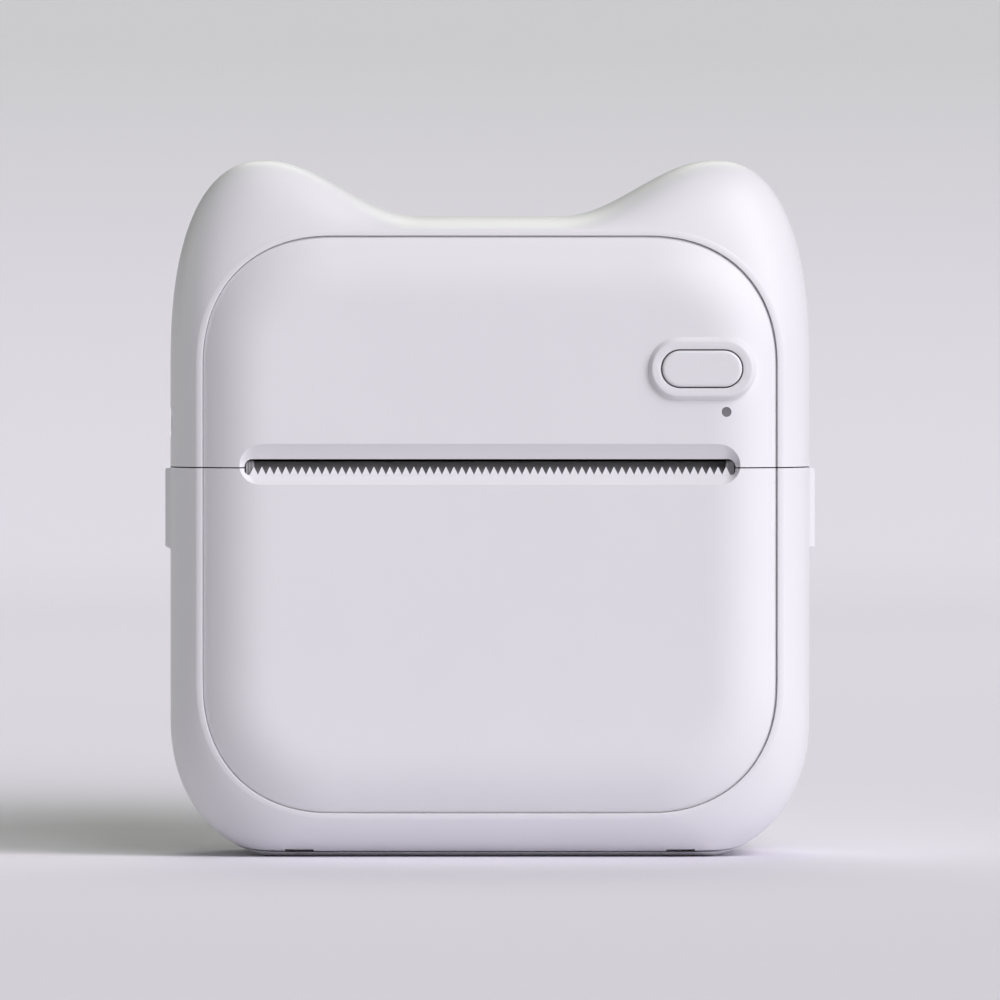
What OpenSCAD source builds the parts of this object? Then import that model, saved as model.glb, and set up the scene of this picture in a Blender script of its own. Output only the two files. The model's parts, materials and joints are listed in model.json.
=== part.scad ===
// Pocket thermal label printer with an eared moulded body.
// Frame: +Z up, the front faces -Y, origin at the middle of the footprint.
// Opening the lid turns it forwards about a pin low behind the front border.

/* [Body] */
// Width of the body across its straight sides
body_w = 78.5; // [77.5:0.5:82]
// Height of the body between the ears
body_h = 78.5; // [77.5:0.5:82]
// Depth from the back face to the face of the button
body_d = 40; // [39.5:0.5:43]
// Height of the ears above the body
ear_h = 6.9; // [4:0.1:9]
// Distance of each ear tip from the side
ear_in = 11.65; // [10.25:0.2:13.25]
// Distance from the middle at which an ear starts to rise
ear_foot = 8.6; // [5:0.2:12]
// Wall thickness of the outer shells
wall = 1.9; // [1.6:0.1:2.1]
// Inset of the flat back face from the sides
back_inset = 5.5; // [4.5:0.25:6.5]

/* [Front] */
// Gap between the outer silhouette and the panel seam at the sides
border_w = 4.2; // [3.8:0.1:4.8]
// Width of the chamfer inside the front border
chamfer_w = 1.0; // [0.6:0.1:1.3]
// Height of the lower edge of the front panels
panel_z0 = 5.64; // [5.2:0.1:6]
// Height of the border above the front panels
border_top = 2.41; // [1.91:0.1:3.41]
// Corner radius of the front panels
panel_r = 16; // [13:0.5:18]
// How far the panels swell out from their edge
pillow_h = 2.7; // [2.2:0.1:3]
// Width of the curved band round the panels
pillow_w = 8.3; // [7:0.1:9]
// Height of the seam between the upper part and the lid
seam_z = 47.85; // [47.5:0.05:48.1]
// Width of the seams between outer pieces
seam_gap = 0.15; // [0.1:0.05:0.25]

/* [Paper slot] */
// Distance from each side to the sunk rim round the slot
rim_in = 8.35; // [7.75:0.1:8.85]
// Width of the rim at each end of the slot mouth
rim_end = 0.84; // [0.6:0.04:1.28]
// Height of the slot mouth
mouth_h = 1.9; // [1.6:0.1:2.2]
// Tooth pitch of the tear bar
tooth_pitch = 0.98; // [0.8:0.02:1.6]
// Tooth height of the tear bar
tooth_h = 1.0; // [0.7:0.1:1.2]
// Room beside the paper for the chassis and the gears
drive_room = 10.75; // [10.75:0.25:12]

/* [Paper bay] */
// Distance from a full paper roll to the front and back faces
roll_room = 5; // [4.75:0.25:5.25]
// Clearance round a full roll
roll_gap = 0.8; // [0.5:0.1:1]
// Wall of the bay mouldings
bay_wall = 1.2; // [1:0.1:1.4]

/* [Button] */
// Width of the button
button_w = 10.06; // [8:0.2:10.6]
// Height of the button
button_h = 4.8; // [4:0.1:5.2]
// Distance of the button from the side
button_in = 13.25; // [12.75:0.25:14.25]
// Height of the button above the rim of the slot
button_rise = 9.14; // [8.14:0.25:11.14]
// Travel of the button
button_travel = 0.35; // [0.2:0.05:0.4]
// Diameter of the status light
light_d = 1.1; // [0.9:0.1:1.6]

/* [Drive] */
// Radius of the platen roller
platen_r = 4.8; // [4.4:0.1:4.9]
// Diameter of the platen shaft
platen_shaft_d = 3; // [2.5:0.1:3.4]
// Height of the platen axis
platen_z = 42; // [41.6:0.1:42.2]
// Gear module
gear_m = 0.4; // [0.38:0.01:0.41]
// Thickness of the gears
gear_t = 1.4; // [1:0.1:1.5]
// Thickness of the chassis side plates
plate_t = 1.4; // [1:0.1:1.6]
// Radial running clearance of shafts and pins
run_gap = 0.05; // [0.02:0.01:0.08]
// Depth of the body that the motor leaves free
motor_room = 25; // [24.8:0.2:28]
// Length of the motor
motor_l = 13; // [10:0.5:14]

/* [Battery] */
// Distance from the side to the battery
battery_side = 13.75; // [13.5:0.25:18]
// Height of the body that the battery leaves free
battery_under = 48.5; // [48:0.5:54.5]
// Thickness of the battery
battery_t = 6.8; // [4:0.2:7]

/* [Hidden] */

shell_white = "#f1f0f4";
inner_white = "#e4e4e6";
guide_dark = "#3a3b3e";
steel = "#b9bcc0";
board_green = "#2f6b4a";
gear_white = "#ece8dc";

// Depths, from the face of the button backwards
button_proud = 0.2;
boss_h = 0.7;
back_y = body_d / 2;
face_y = -body_d / 2;
boss_y = face_y + button_proud;
pillow_y = boss_y + boss_h;
edge_y = pillow_y + pillow_h;
ridge_y = edge_y - 0.6;
border_depth = 12;
border_turn = 0.85;
border_end = sqrt(1 - pow(border_turn, 2));
side_y = ridge_y + border_depth;
part_y = 0.5;
back_round = 10.5;
tail_y = back_y - back_round;
inner_front_y = pillow_y + wall;
inner_back_y = back_y - wall;

// Silhouette
half_w = body_w / 2;
ear_x = half_w - ear_in;
ear_top = body_h + ear_h;
shoulder_drop = 25.4;
shoulder_z = ear_top - shoulder_drop;
shoulder_n = 2.4;
foot_x = half_w - 15.25;
foot_z = 17;
foot_n = 2.15;
foot_flat = 0.3;
facet_top = 11;
facet_shoulder = 10;
facet_foot = 8;
facet_round = 40;

// Panels and border
seam_half = half_w - border_w;
panel_h = body_h - panel_z0 - border_top;
panel_top = panel_z0 + panel_h;
panel_mid = panel_z0 + panel_h / 2;
squircle_n = 2.25;
facet_corner = 9;
rim_w = 0.8;
rim_t = 1.05;
rim_y = edge_y + 1.35;

inner_rim_w = 1.6;

// Slot and button
rim_half = half_w - rim_in;
rim_top = seam_z + 2.95;
rim_low = seam_z - 2.08;
mouth_half = rim_half - rim_end;
mouth_low = seam_z - 0.85;
mouth_mid = mouth_low + mouth_h / 2;
mouth_y = pillow_y + 1.3;
bar_t = 0.8;
bar_drop = 2.5;
button_x = half_w - button_in;
button_z = rim_top + button_rise;
button_gap = 0.15;
boss_grow = 2.1;
boss_flank = 0.62;
cap_flange = 0.9;
light_x = button_x + 2.96;
light_z = button_z - 5.24;

// Grip pad and finger hollow at each side of the lid
grip_y0 = side_y - 4.6;
grip_y1 = part_y - 0.6;
grip_low = 37.9;
grip_proud = 0.65;
scoop_r = 6;
scoop_depth = 0.4;
scoop_z = grip_low - 2.6;

// Lid hinge
hinge_back = 7.1;
hinge_y = pillow_y + hinge_back;
hinge_z = 6.1;
hinge_pin_d = 1.8;
knuckle_r = 2;
lid_flat_y = hinge_y + 1;
lid_top_r = norm([lid_flat_y - hinge_y, seam_z - hinge_z]);
toe_r = 5.3;
lug_x = half_w - 20.75;
lug_w = 3.2;
arm_w = 3;
arm_x = lug_x + lug_w + 0.2;
arm_x1 = arm_x + arm_w;
arm_low = 0.8;
arm_high = 1.8;
side_gap = 0.25;

// Paper bay
paper_w = body_w - 2 * drive_room;
bay_r = body_d / 2 - roll_room + roll_gap;
bay_out = bay_r + bay_wall;
bay_y = inner_back_y - bay_out - 0.2;
bay_z = bay_out + 3.7;
bay_half = paper_w / 2 + 0.4;
bay_roof = 37.3;
cheek_t = 1.2;
cheek_h = 5.5;
cradle_a = -114;
cradle_a1 = min(58, asin((bay_roof - bay_z) / bay_out));
liner_a = 138;
liner_a1 = 216;

// Platen and head
platen_y = inner_front_y + 7.2;
platen_c = [platen_y, platen_z];
swing = [platen_y - hinge_y, platen_z - hinge_z];
away = [swing[1], -swing[0]] / norm(swing);
along = [-away[1], away[0]];
head_gap = 0.3;
ceramic_t = 1;
sink_t = 2.5;
head_half = bay_half + 0.2;
arm_x0 = bay_half;
arm_t = 1.2;
plate_x = arm_x0 + arm_t + 0.2;
gear_x = plate_x + plate_t + 0.3;
gear_x2 = gear_x + gear_t + 0.2;
bush_d = 5;
bush_big_d = 6;
platen_half = bay_half - 0.65;
bracket_y = inner_front_y + 1.6;
bracket_t = 1;
bracket_low = platen_z - 4.4;
bracket_high = platen_z + 2.4;
liner_pad_y = inner_front_y + 2;
liner_pad_t = 2.4;
n0 = platen_r + head_gap;
n1 = n0 + ceramic_t;
n2 = n1 + sink_t;
pivot_c = head_pt(n1 + 1.4, -4.2);
pivot_d = 1.6;
crossbar_y = platen_y + 14;
crossbar_t = 1.2;
front_edge = platen_y - 3.4;
spring_x = 15;
spring_r = 1.7;
spring_wire = 0.25;
spring_gap = 0.35;
spring_turns = 4;
guide_half = plate_x - 0.24;
fin_pitch = 6;
fin_half = fin_pitch * floor((head_half - 3) / fin_pitch);

// Gear train: teeth, centres and phases in the (y, z) plane
teeth_platen = 21;
teeth_small = 14;
teeth_transfer = 36;
teeth_reduction = 30;
pressure = 25;
backlash = 0.09;
mesh_1 = gear_m * (teeth_platen + teeth_small) / 2;
mesh_2 = gear_m * (teeth_transfer + teeth_small) / 2;
mesh_3 = gear_m * (teeth_reduction + teeth_small) / 2;
angle_2 = 40;
angle_3 = 75;
transfer_c = platen_c + mesh_1 * away;
reduction_c = transfer_c + mesh_2 * [cos(angle_2), sin(angle_2)];
motor_c = reduction_c + mesh_3 * [cos(angle_3), sin(angle_3)];
angle_1 = atan2(away[1], away[0]);
phase_platen = angle_1;
phase_transfer_s = meshed(phase_platen, angle_1, teeth_platen, teeth_small);
phase_transfer_b = 0;
phase_reduction_s = meshed(phase_transfer_b, angle_2, teeth_transfer, teeth_small);
phase_reduction_b = 0;
phase_motor = meshed(phase_reduction_b, angle_3, teeth_reduction, teeth_small);
post_d = 2;
clip_t = 0.4;
motor_d = min(body_d - motor_room, 2 * (body_h - 14.4 - motor_c[1]));
motor_x = plate_x - motor_l;
motor_top = motor_c[1] + motor_d / 2;
motor_back = motor_c[0] + motor_d / 2;
motor_shaft_r = 0.75;
motor_turn = 40;
motor_flange = 0.8;
motor_ear_out = 1.7;
motor_ear = [for (s = [-1, 1])
    motor_c + s * (motor_d / 2 + motor_ear_out) * [cos(motor_turn), sin(motor_turn)]];
ear_screw_r = 0.85;

// Board
board_t = 1.2;
board_y = inner_front_y + 6.4;
board_front = board_y - board_t;
board_x0 = -half_w + 8.75;
board_x1 = half_w - 7.25;
board_z0 = rim_top + 1.2;
board_z1 = panel_top - 3.59;
usb_z = 53.3;
usb_w = 8.94;
usb_h = 3.26;
usb_l = 7.35;
usb_y = board_y + 0.2 + usb_w / 2;
switch_w = 5.2;
switch_t = 2.4;
plunger_l = button_travel + 0.55;
plunger_r = 1.15;
plunger_y = board_front - switch_t - plunger_l;
led_t = 0.7;
lead_x = motor_x + 1;
lead_pitch = 1.2;
socket_z = board_z1 - 7;
ribbon_t = 0.2;
ribbon_half = 9;
ribbon_y = board_y + 1.1;
ribbon_z = board_z0 + 5.2;

// Battery, its plug and its leads
sensor_x = 11;
sensor_w = 4;
sensor_y = platen_y + 0.5;
battery_h = body_h - battery_under;
battery_x1 = motor_x - 2.8;
battery_x0 = battery_side - half_w;
battery_w = battery_x1 - battery_x0;
battery_z0 = 42.3;
battery_z1 = battery_z0 + battery_h;
cell_r = 2;
strip_h = 3;
strip_t = 1.6;
pad_t = 0.5;
pad_in = 4;
fence_t = 1;
fence_h = 3;
battery_y = inner_back_y - pad_t - battery_t;
plug_x = board_x0 + 0.5;
plug_w = 5.5;
plug_t = 3.2;
plug_h = 6;
plug_z = board_z0 + 6.2;

// Screws
ear_screw = [half_w - 10.75, body_h - 10.5];
low_screw = [24, 9.5];
chassis_screw = [20, 40];
bracket_screw = [16, platen_z - 7.2];
liner_screw = [bay_half - 3.4, bay_z + 10.8];
board_posts = [[board_x0 + 6.5, board_z1 - 3], [board_x1 - 18, board_z1 - 3],
    [board_x0 + 14.5, board_z0 + 2.5]];
screw_d = 2;
screw_head_d = 3.6;
screw_head_t = 1.2;
screw_clear = 0.1;
head_clear = 0.25;
case_sink = 1.5;
ear_screw_l = 24;
chassis_screw_l = 6;
board_screw_l = 3.4;
liner_screw_l = 4.2;
bracket_screw_l = 2.4;
post_r = 2.4;
low_post_r = 2.2;
board_post_r = 1.8;
low_post_y = bay_y + 0.25 + sqrt(pow(bay_out, 2) - pow(bay_z - low_screw[1] - post_r, 2));
low_screw_l = back_y - case_sink - low_post_y + 2.6;

// ---------- shared functions ----------

function clamp01(v) = max(0, min(1, v));
function mix(a, b, k) = a + (b - a) * k;
function head_pt(n, t) = platen_c + n * away + t * along;
function meshed(phase, dir, n1, n2) = dir + 180 - (phase - dir) * n1 / n2 + 180 / n2;

// Right half of the silhouette, from the top middle round to the bottom middle
function ear_rise(x) = ear_h * (1 - cos(180 * clamp01((x - ear_foot) / (ear_x - ear_foot)))) / 2;
function half_outline() = concat(
    [for (i = [0:facet_top]) let (x = ear_x * i / facet_top) [x, body_h + ear_rise(x)]],
    [for (i = [1:facet_shoulder]) let (a = 90 * (1 - i / facet_shoulder))
        [mix(ear_x, half_w, pow(cos(a), 2 / shoulder_n)),
         mix(shoulder_z, ear_top, pow(sin(a), 2 / shoulder_n))]],
    [[half_w, mix(shoulder_z, foot_z, 0.5)]],
    [for (i = [0:facet_foot]) let (a = 90 * i / facet_foot)
        [mix(foot_x, half_w, pow(cos(a), 2 / foot_n)),
         max(0, foot_z - (foot_z + foot_flat) * pow(sin(a), 2 / foot_n))]],
    [[foot_x / 2, 0]]);
function full_ring(half) = let (n = len(half)) concat(
    half, [[0, 0]], [for (i = [n - 1:-1:1]) [-half[i][0], half[i][1]]]);
function ring_normal(ring, i) = let (n = len(ring), d = ring[(i + 1) % n] - ring[(i + n - 1) % n])
    [d[1], -d[0]] / norm(d);
// A clockwise ring moved inwards by d
function inset_ring(ring, d) = [for (i = [0:len(ring) - 1]) ring[i] + d * ring_normal(ring, i)];

// A square with superelliptic corners, found along a ray from its middle
function past_edge(x, z, h, r) = pow(max(0, (x - h[0] + r) / r), squircle_n)
    + pow(max(0, (z - h[1] + r) / r), squircle_n) > 1;
function ray(d, h, r, lo, hi, k) = k == 0 ? (lo + hi) / 2 : let (m = (lo + hi) / 2)
    past_edge(abs(d[0]) * m, abs(d[1]) * m, h, r) ? ray(d, h, r, lo, m, k - 1)
        : ray(d, h, r, m, hi, k - 1);
function on_squircle(p, mid, h, r) = let (d = p - [0, mid]) [0, mid] + d * ray(d, h, r, 0, 2, 20);
function squircle_for(ring, grow) = [for (p = ring)
    on_squircle(p, panel_mid, [seam_half + grow, panel_h / 2 + grow], panel_r + grow)];
// The same square as a ring with its own even corners
function squircle_ring(h, r, mid) = [for (q = [0:3]) for (i = [0:facet_corner])
    let (a = q * 90 + 90 * i / facet_corner, c = cos(a), s = sin(a),
        sx = (q == 0 || q == 3) ? 1 : -1, sz = q < 2 ? 1 : -1)
    [sx * (h[0] - r) + r * sign(c) * pow(abs(c), 2 / squircle_n),
     mid + sz * (h[1] - r) + r * sign(s) * pow(abs(s), 2 / squircle_n)]];

outline = full_ring(half_outline());
outline_in = inset_ring(outline, wall);
ridge = squircle_for(outline, chamfer_w);
ridge_in = squircle_for(outline, chamfer_w - 0.3);
lip = squircle_for(outline, seam_gap);
seat = squircle_for(outline, rim_w + 0.1);
back_half = [half_w - back_inset, body_h / 2 - back_inset + 0.5];
back_mid = body_h / 2;
back_r = 14;
back_ring = [for (p = outline) on_squircle(p, back_mid, back_half, back_r)];
back_ring_in = inset_ring(back_ring, wall * 0.6);

// Outer and inner surface of the body at depth y. The front turns in short of square to its edge.
function front_k(y, deep) = let (t = border_turn * clamp01((side_y - y) / deep))
    (sqrt(1 - t * t) - border_end) / (1 - border_end);
function back_k(y, deep) = sqrt(max(0, 1 - pow(max(0, y - tail_y) / deep, 2)));
function mix_ring(a, b, k) = [for (i = [0:len(a) - 1]) mix(a[i], b[i], k)];
function outer_at(y) = y < side_y ? mix_ring(ridge, outline, front_k(y, border_depth))
    : mix_ring(back_ring, outline, back_k(y, back_round));
function inner_at(y) = y < side_y ? mix_ring(ridge_in, outline_in, front_k(y, border_depth - wall))
    : mix_ring(back_ring_in, outline_in, back_k(y, back_round - wall));
function placed(ring, y) = [for (p = ring) [p[0], y, p[1]]];
// Depths that follow a quarter turn, from the straight side to the tip
function turn(y0, deep, n, sgn) = [for (i = [0:n]) y0 + sgn * deep * sin(90 * i / n)];

// ---------- shared modules ----------

// A skin over rings of equal length. Caps close its two ends, or loop joins them.
module skin(rings, loop = false) {
    n = len(rings[0]);
    m = len(rings);
    last = loop ? m - 1 : m - 2;
    sides = [for (j = [0:last]) for (i = [0:n - 1])
        let (a = j * n + i, b = j * n + (i + 1) % n,
            c = ((j + 1) % m) * n + i, d = ((j + 1) % m) * n + (i + 1) % n)
        each [[a, b, d], [a, d, c]]];
    caps = loop ? [] : [[for (i = [n - 1:-1:0]) i], [for (i = [0:n - 1]) (m - 1) * n + i]];
    polyhedron([for (r = rings) each r], concat(sides, caps), convexity = 10);
}

// Extrudes a (y, z) outline along X
module along_x(x0, x1) {
    translate([x0, 0, 0]) rotate([90, 0, 90]) linear_extrude(x1 - x0) children();
}

module rod_x(x0, x1, r, c) {
    translate([x0, c[0], c[1]]) rotate([0, 90, 0]) cylinder(h = x1 - x0, r = r, $fn = facet_round);
}

module rod_y(y0, y1, r, c) {
    translate([c[0], y0, c[1]]) rotate([-90, 0, 0]) cylinder(h = y1 - y0, r = r, $fn = facet_round);
}

module box(x, y, z) {
    translate([x[0], y[0], z[0]]) cube([x[1] - x[0], y[1] - y[0], z[1] - z[0]]);
}

module both_sides() {
    children();
    mirror([1, 0, 0]) children();
}

// A pan head screw that points along +Y from its head
module screw_y(c, y, len, sgn = 1) {
    translate([c[0], y, c[1]]) rotate([-90 * sgn, 0, 0]) difference() {
        union() {
            translate([0, 0, -screw_head_t])
                cylinder(h = screw_head_t, r = screw_head_d / 2, $fn = facet_round);
            cylinder(h = len, r = screw_d / 2, $fn = facet_round);
        }
        for (a = [0, 90]) rotate(a) translate([-1, -0.25, -screw_head_t - 0.2]) cube([2, 0.5, 0.9]);
    }
}

// Round wire that runs through a list of points
module wire(path, r) {
    for (i = [1:len(path) - 1]) let (d = path[i] - path[i - 1], l = norm(d)) {
        translate(path[i - 1]) rotate([0, acos(d[2] / l), atan2(d[1], d[0])])
            cylinder(h = l, r = r, $fn = 16);
        if (i < len(path) - 1) translate(path[i]) sphere(r * 1.01, $fn = 16);
    }
}

// Flat oval in the front plane, as wide as w and as high as h
module oval(w, h) {
    r = h / 2;
    union() {
        square([w - h, h], center = true);
        for (s = [-1, 1]) translate([s * (w / 2 - r), 0]) circle(r, $fn = 48);
    }
}

// Extrudes a front-plane (x, z) shape from y0 back to y1
module along_y(y0, y1) {
    translate([0, y1, 0]) rotate([90, 0, 0]) linear_extrude(y1 - y0) children();
}

// ---------- parting regions ----------

module lid_region() {
    big = 60;
    difference() {
        union() {
            intersection() {
                box([-big, big], [-big, part_y - seam_gap / 2], [hinge_z + seam_gap, seam_z - seam_gap / 2]);
                rod_x(-big, big, lid_top_r - seam_gap / 2, [hinge_y, hinge_z]);
            }
            box([-big, big], [-big, hinge_y], [-1, hinge_z + seam_gap]);
            rod_x(-big, big, toe_r, [hinge_y, hinge_z]);
        }
        box([-big, big], [hinge_y + toe_r + 0.5, big], [-1, hinge_z]);
    }
}

module upper_region() {
    big = 60;
    difference() {
        box([-big, big], [-big, part_y - seam_gap / 2], [hinge_z + 20, 2 * big]);
        box([-big, big], [-big, lid_flat_y], [-1, seam_z + seam_gap / 2]);
        rod_x(-big, big, lid_top_r + seam_gap / 2, [hinge_y, hinge_z]);
    }
}

module rear_region() {
    big = 60;
    difference() {
        union() {
            box([-big, big], [part_y, big], [-1, 2 * big]);
            box([-big, big], [hinge_y, part_y + 1], [-1, hinge_z]);
        }
        rod_x(-big, big, toe_r + side_gap, [hinge_y, hinge_z]);
    }
}

// Front border as a closed loop of rings, from the parting plane round to it again
module border_loop() {
    outer_ys = turn(side_y, border_depth, 6, -1);
    inner_ys = [for (i = [4:-1:0]) turn(side_y, border_depth - wall, 6, -1)[i]];
    end_y = part_y + 1;
    rings = concat(
        [placed(outline, end_y)],
        [for (y = outer_ys) placed(outer_at(y), y)],
        [placed(lip, edge_y), placed(lip, rim_y)],
        [placed(seat, rim_y), placed(seat, rim_y + rim_t + 0.1)],
        [for (y = inner_ys) placed(inner_at(y), y)],
        [placed(outline_in, end_y)]);
    skin(rings, true);
}

// Rear tub, closed at the back
module rear_tub() {
    start = hinge_y - 0.6;
    outer_ys = concat([start, (start + side_y) / 2, side_y], turn(tail_y, back_round, 5, 1));
    inner_ys = concat([for (i = [5:-1:0]) turn(tail_y, back_round - wall, 5, 1)[i]],
        [side_y, (start + side_y) / 2, start]);
    rings = concat([for (y = outer_ys) placed(outer_at(y), y)], [for (y = inner_ys) placed(inner_at(y), y)]);
    tub_skin(rings, len(outer_ys));
}

// Rings that run to a cap, and m_out further on return inside from another cap
module tub_skin(rings, m_out) {
    m = len(rings);
    n = len(rings[0]);
    strips = concat([for (j = [0:m_out - 2]) j], [for (j = [m_out:m - 1]) j]);
    sides = [for (j = strips) for (i = [0:n - 1])
        let (k = (j + 1) % m, a = j * n + i, b = j * n + (i + 1) % n,
            c = k * n + i, d = k * n + (i + 1) % n)
        each [[a, d, b], [a, c, d]]];
    caps = concat(
        [for (i = [0:n - 1]) [(m_out - 1) * n + (i + 1) % n, (m_out - 1) * n + i, m * n]],
        [for (i = [0:n - 1]) [m_out * n + i, m_out * n + (i + 1) % n, m * n + 1]]);
    points = concat([for (r = rings) each r], [middle(rings[m_out - 1]), middle(rings[m_out])]);
    polyhedron(points, concat(sides, caps), convexity = 10);
}
function middle(ring) = let (ones = [for (p = ring) 1])
    [for (c = [0:2]) ([for (p = ring) p[c]] * ones) / len(ring)];

// Swollen front panel with its rim, before it is split at the seam
function panel_ring(d, y) = placed(squircle_ring(
    [seam_half - d, panel_h / 2 - d], panel_r - d, panel_mid), y);
function pillow_at(d) = edge_y - pillow_h * (1 - pow(1 - clamp01(d / pillow_w), 2));
module full_panel() {
    steps = [0.35, 1.2, 2.4, 3.9, 5.8, pillow_w];
    inner_steps = [pillow_w, 5.4, 3.2, inner_rim_w];
    rings = concat(
        [panel_ring(-rim_w, rim_y + rim_t), panel_ring(-rim_w, rim_y), panel_ring(0, rim_y),
         panel_ring(0, edge_y)],
        [for (d = steps) panel_ring(d, pillow_at(d))]);
    rings_in = concat(
        [for (d = inner_steps) panel_ring(d, pillow_at(d) + wall)],
        [panel_ring(inner_rim_w, rim_y + rim_t)]);
    tub_skin(concat(rings, rings_in), len(rings));
}

// Sunk rim and mouth of the paper slot
module slot_cut() {
    hull() {
        translate([0, 0, (rim_top + rim_low) / 2])
            along_y(pillow_y - 0.6, pillow_y) oval(2 * rim_half, rim_top - rim_low);
        translate([0, 0, mouth_mid]) along_y(mouth_y - 0.05, mouth_y)
            oval(2 * mouth_half, mouth_h);
    }
    translate([0, 0, mouth_mid]) along_y(mouth_y - 0.1, mouth_y + 4) oval(2 * mouth_half, mouth_h);
}

// ---------- gears ----------

function inv(a) = tan(a) * 180 / PI - a;
function tooth(n, m, up) = let (
        r = m * n / 2, rb = r * cos(pressure), ra = r + m, rf = r - 1.25 * m,
        half = 90 / n - backlash / (2 * r) * 180 / PI,
        r0 = max(rb, rf))
    [for (i = [0:3]) let (q = up ? i : 3 - i, rr = mix(r0, ra, q / 3),
        a = half + inv(pressure) - inv(acos(min(1, rb / rr))), s = up ? -1 : 1)
        [rr * cos(s * a), rr * sin(s * a)]];
function turned(p, a) = [p[0] * cos(a) - p[1] * sin(a), p[0] * sin(a) + p[1] * cos(a)];
function gear_points(n, m) = [for (k = [0:n - 1]) let (a = 360 * k / n, rf = m * n / 2 - 1.25 * m,
        root = 180 / n * 0.72)
    each concat([turned([rf * cos(root), -rf * sin(root)], a)],
        [for (p = tooth(n, m, true)) turned(p, a)], [for (p = tooth(n, m, false)) turned(p, a)],
        [turned([rf * cos(root), rf * sin(root)], a)])];
module gear(n, c, phase, x0, x1) {
    translate([x0, c[0], c[1]]) rotate([90, 0, 90]) rotate(phase)
        linear_extrude(x1 - x0) polygon(gear_points(n, gear_m));
}

// ---------- outer shells ----------

module front_frame() {
    color(shell_white) difference() {
        union() {
            intersection() {
                border_loop();
                upper_region();
            }
            both_sides() frame_boss();
        }
        usb_port();
        both_sides() rod_y(part_y - 9, part_y + 1, screw_d / 2, ear_screw);
    }
}

// Screw post inside each ear, joined to the wall by a web
module frame_boss() {
    boss_y0 = board_y + 0.4;
    rod_y(boss_y0, part_y - seam_gap / 2, post_r, ear_screw);
    box([ear_screw[0] - 0.6, ear_screw[0] + 0.6], [boss_y0, part_y - seam_gap / 2],
        [ear_screw[1] + 1.5, body_h + ear_rise(ear_screw[0] - 0.6) - wall]);
}

module usb_port() {
    translate([-half_w - 1, usb_y, usb_z]) rotate([90, 0, 90]) linear_extrude(wall + 3)
        oval(usb_w + 0.7, usb_h + 0.54);
}

module rear_case() {
    color(shell_white) difference() {
        union() {
            intersection() {
                rear_tub();
                rear_region();
            }
            both_sides() {
                rod_y(part_y, inner_back_y + 0.5, post_r, ear_screw);
                rod_y(crossbar_y + crossbar_t, inner_back_y + 0.5, 2, chassis_screw);
                rod_y(low_post_y, inner_back_y + 0.5, low_post_r, low_screw);
            }
            battery_fence();
        }
        both_sides() {
            for (c = [ear_screw, low_screw]) {
                rod_y(back_y - case_sink, back_y + 1, screw_head_d / 2 + head_clear, c);
                rod_y(part_y - 1, back_y, screw_d / 2 + screw_clear, c);
            }
            rod_y(crossbar_y + crossbar_t - 1, inner_back_y - 1, screw_d / 2, chassis_screw);
        }
    }
}
// Low ribs on the back wall that hold the battery below and at one side
module battery_fence() {
    depth = [inner_back_y - fence_h, inner_back_y + 0.5];
    box([battery_x0 + pad_in, battery_x1 - pad_in], depth, [battery_z0 - 0.4 - fence_t, battery_z0 - 0.4]);
    box([battery_x1 + 0.4, battery_x1 + 0.4 + fence_t], depth, [battery_z0 + pad_in, battery_z1 - pad_in]);
}

module upper_panel() {
    color(shell_white) difference() {
        union() {
            intersection() {
                full_panel();
                box([-60, 60], [-60, 60], [seam_z + seam_gap / 2, 120]);
            }
            button_boss();
            for (c = board_posts) rod_y(inner_front_y - 0.3, board_front, board_post_r, c);
        }
        slot_cut();
        translate([button_x, 0, button_z]) {
            along_y(face_y - 1, 0) oval(button_w + 2 * button_gap, button_h + 2 * button_gap);
            along_y(inner_front_y, 0) oval(button_w + 2 * cap_flange + 0.8, button_h + 2 * cap_flange + 0.8);
        }
        rod_y(face_y, 0, light_d / 2 + 0.05, [light_x, light_z]);
        for (c = board_posts) rod_y(board_front - 3, board_front + 1, screw_d / 2, c);
    }
}

// Raised collar round the button, with a sloped flank
module button_boss() {
    top = [button_w + boss_grow, button_h + boss_grow];
    base = [top[0] + 2 * boss_flank, top[1] + 2 * boss_flank];
    translate([button_x, 0, button_z]) {
        hull() {
            along_y(boss_y, boss_y + 0.05) oval(top[0], top[1]);
            along_y(pillow_y + 0.1, pillow_y + 0.2) oval(base[0], base[1]);
        }
        along_y(pillow_y + 0.1, inner_front_y) oval(base[0], base[1]);
    }
}

module power_button() {
    color(shell_white) translate([button_x, 0, button_z]) {
        hull() {
            along_y(face_y, face_y + 0.1) oval(button_w - 0.5, button_h - 0.5);
            along_y(face_y + 0.3, face_y + 0.4) oval(button_w, button_h);
        }
        along_y(face_y + 0.35, inner_front_y + 1) oval(button_w, button_h);
        along_y(inner_front_y + 0.15, inner_front_y + 1)
            oval(button_w + 2 * cap_flange, button_h + 2 * cap_flange);
        rod_y(inner_front_y + 0.9, plunger_y - 0.05, 1.3, [0, 0]);
    }
}

module light_pipe() {
    color("#f4f6f8") {
        rod_y(pillow_at(seam_half - light_x) + 0.05, board_front - 1.0, light_d / 2, [light_x, light_z]);
        rod_y(board_front - 2.2, board_front - 1.0, 1.2, [light_x, light_z]);
    }
}

module lid_frame() {
    color(shell_white) difference() {
        union() {
            intersection() {
                border_loop();
                lid_region();
            }
            both_sides() side_grip();
        }
        both_sides() {
            side_scoop();
            box([arm_x - side_gap, arm_x1 + side_gap], [hinge_y - 0.4, part_y], [-1, hinge_z + 1]);
        }
    }
}

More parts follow.
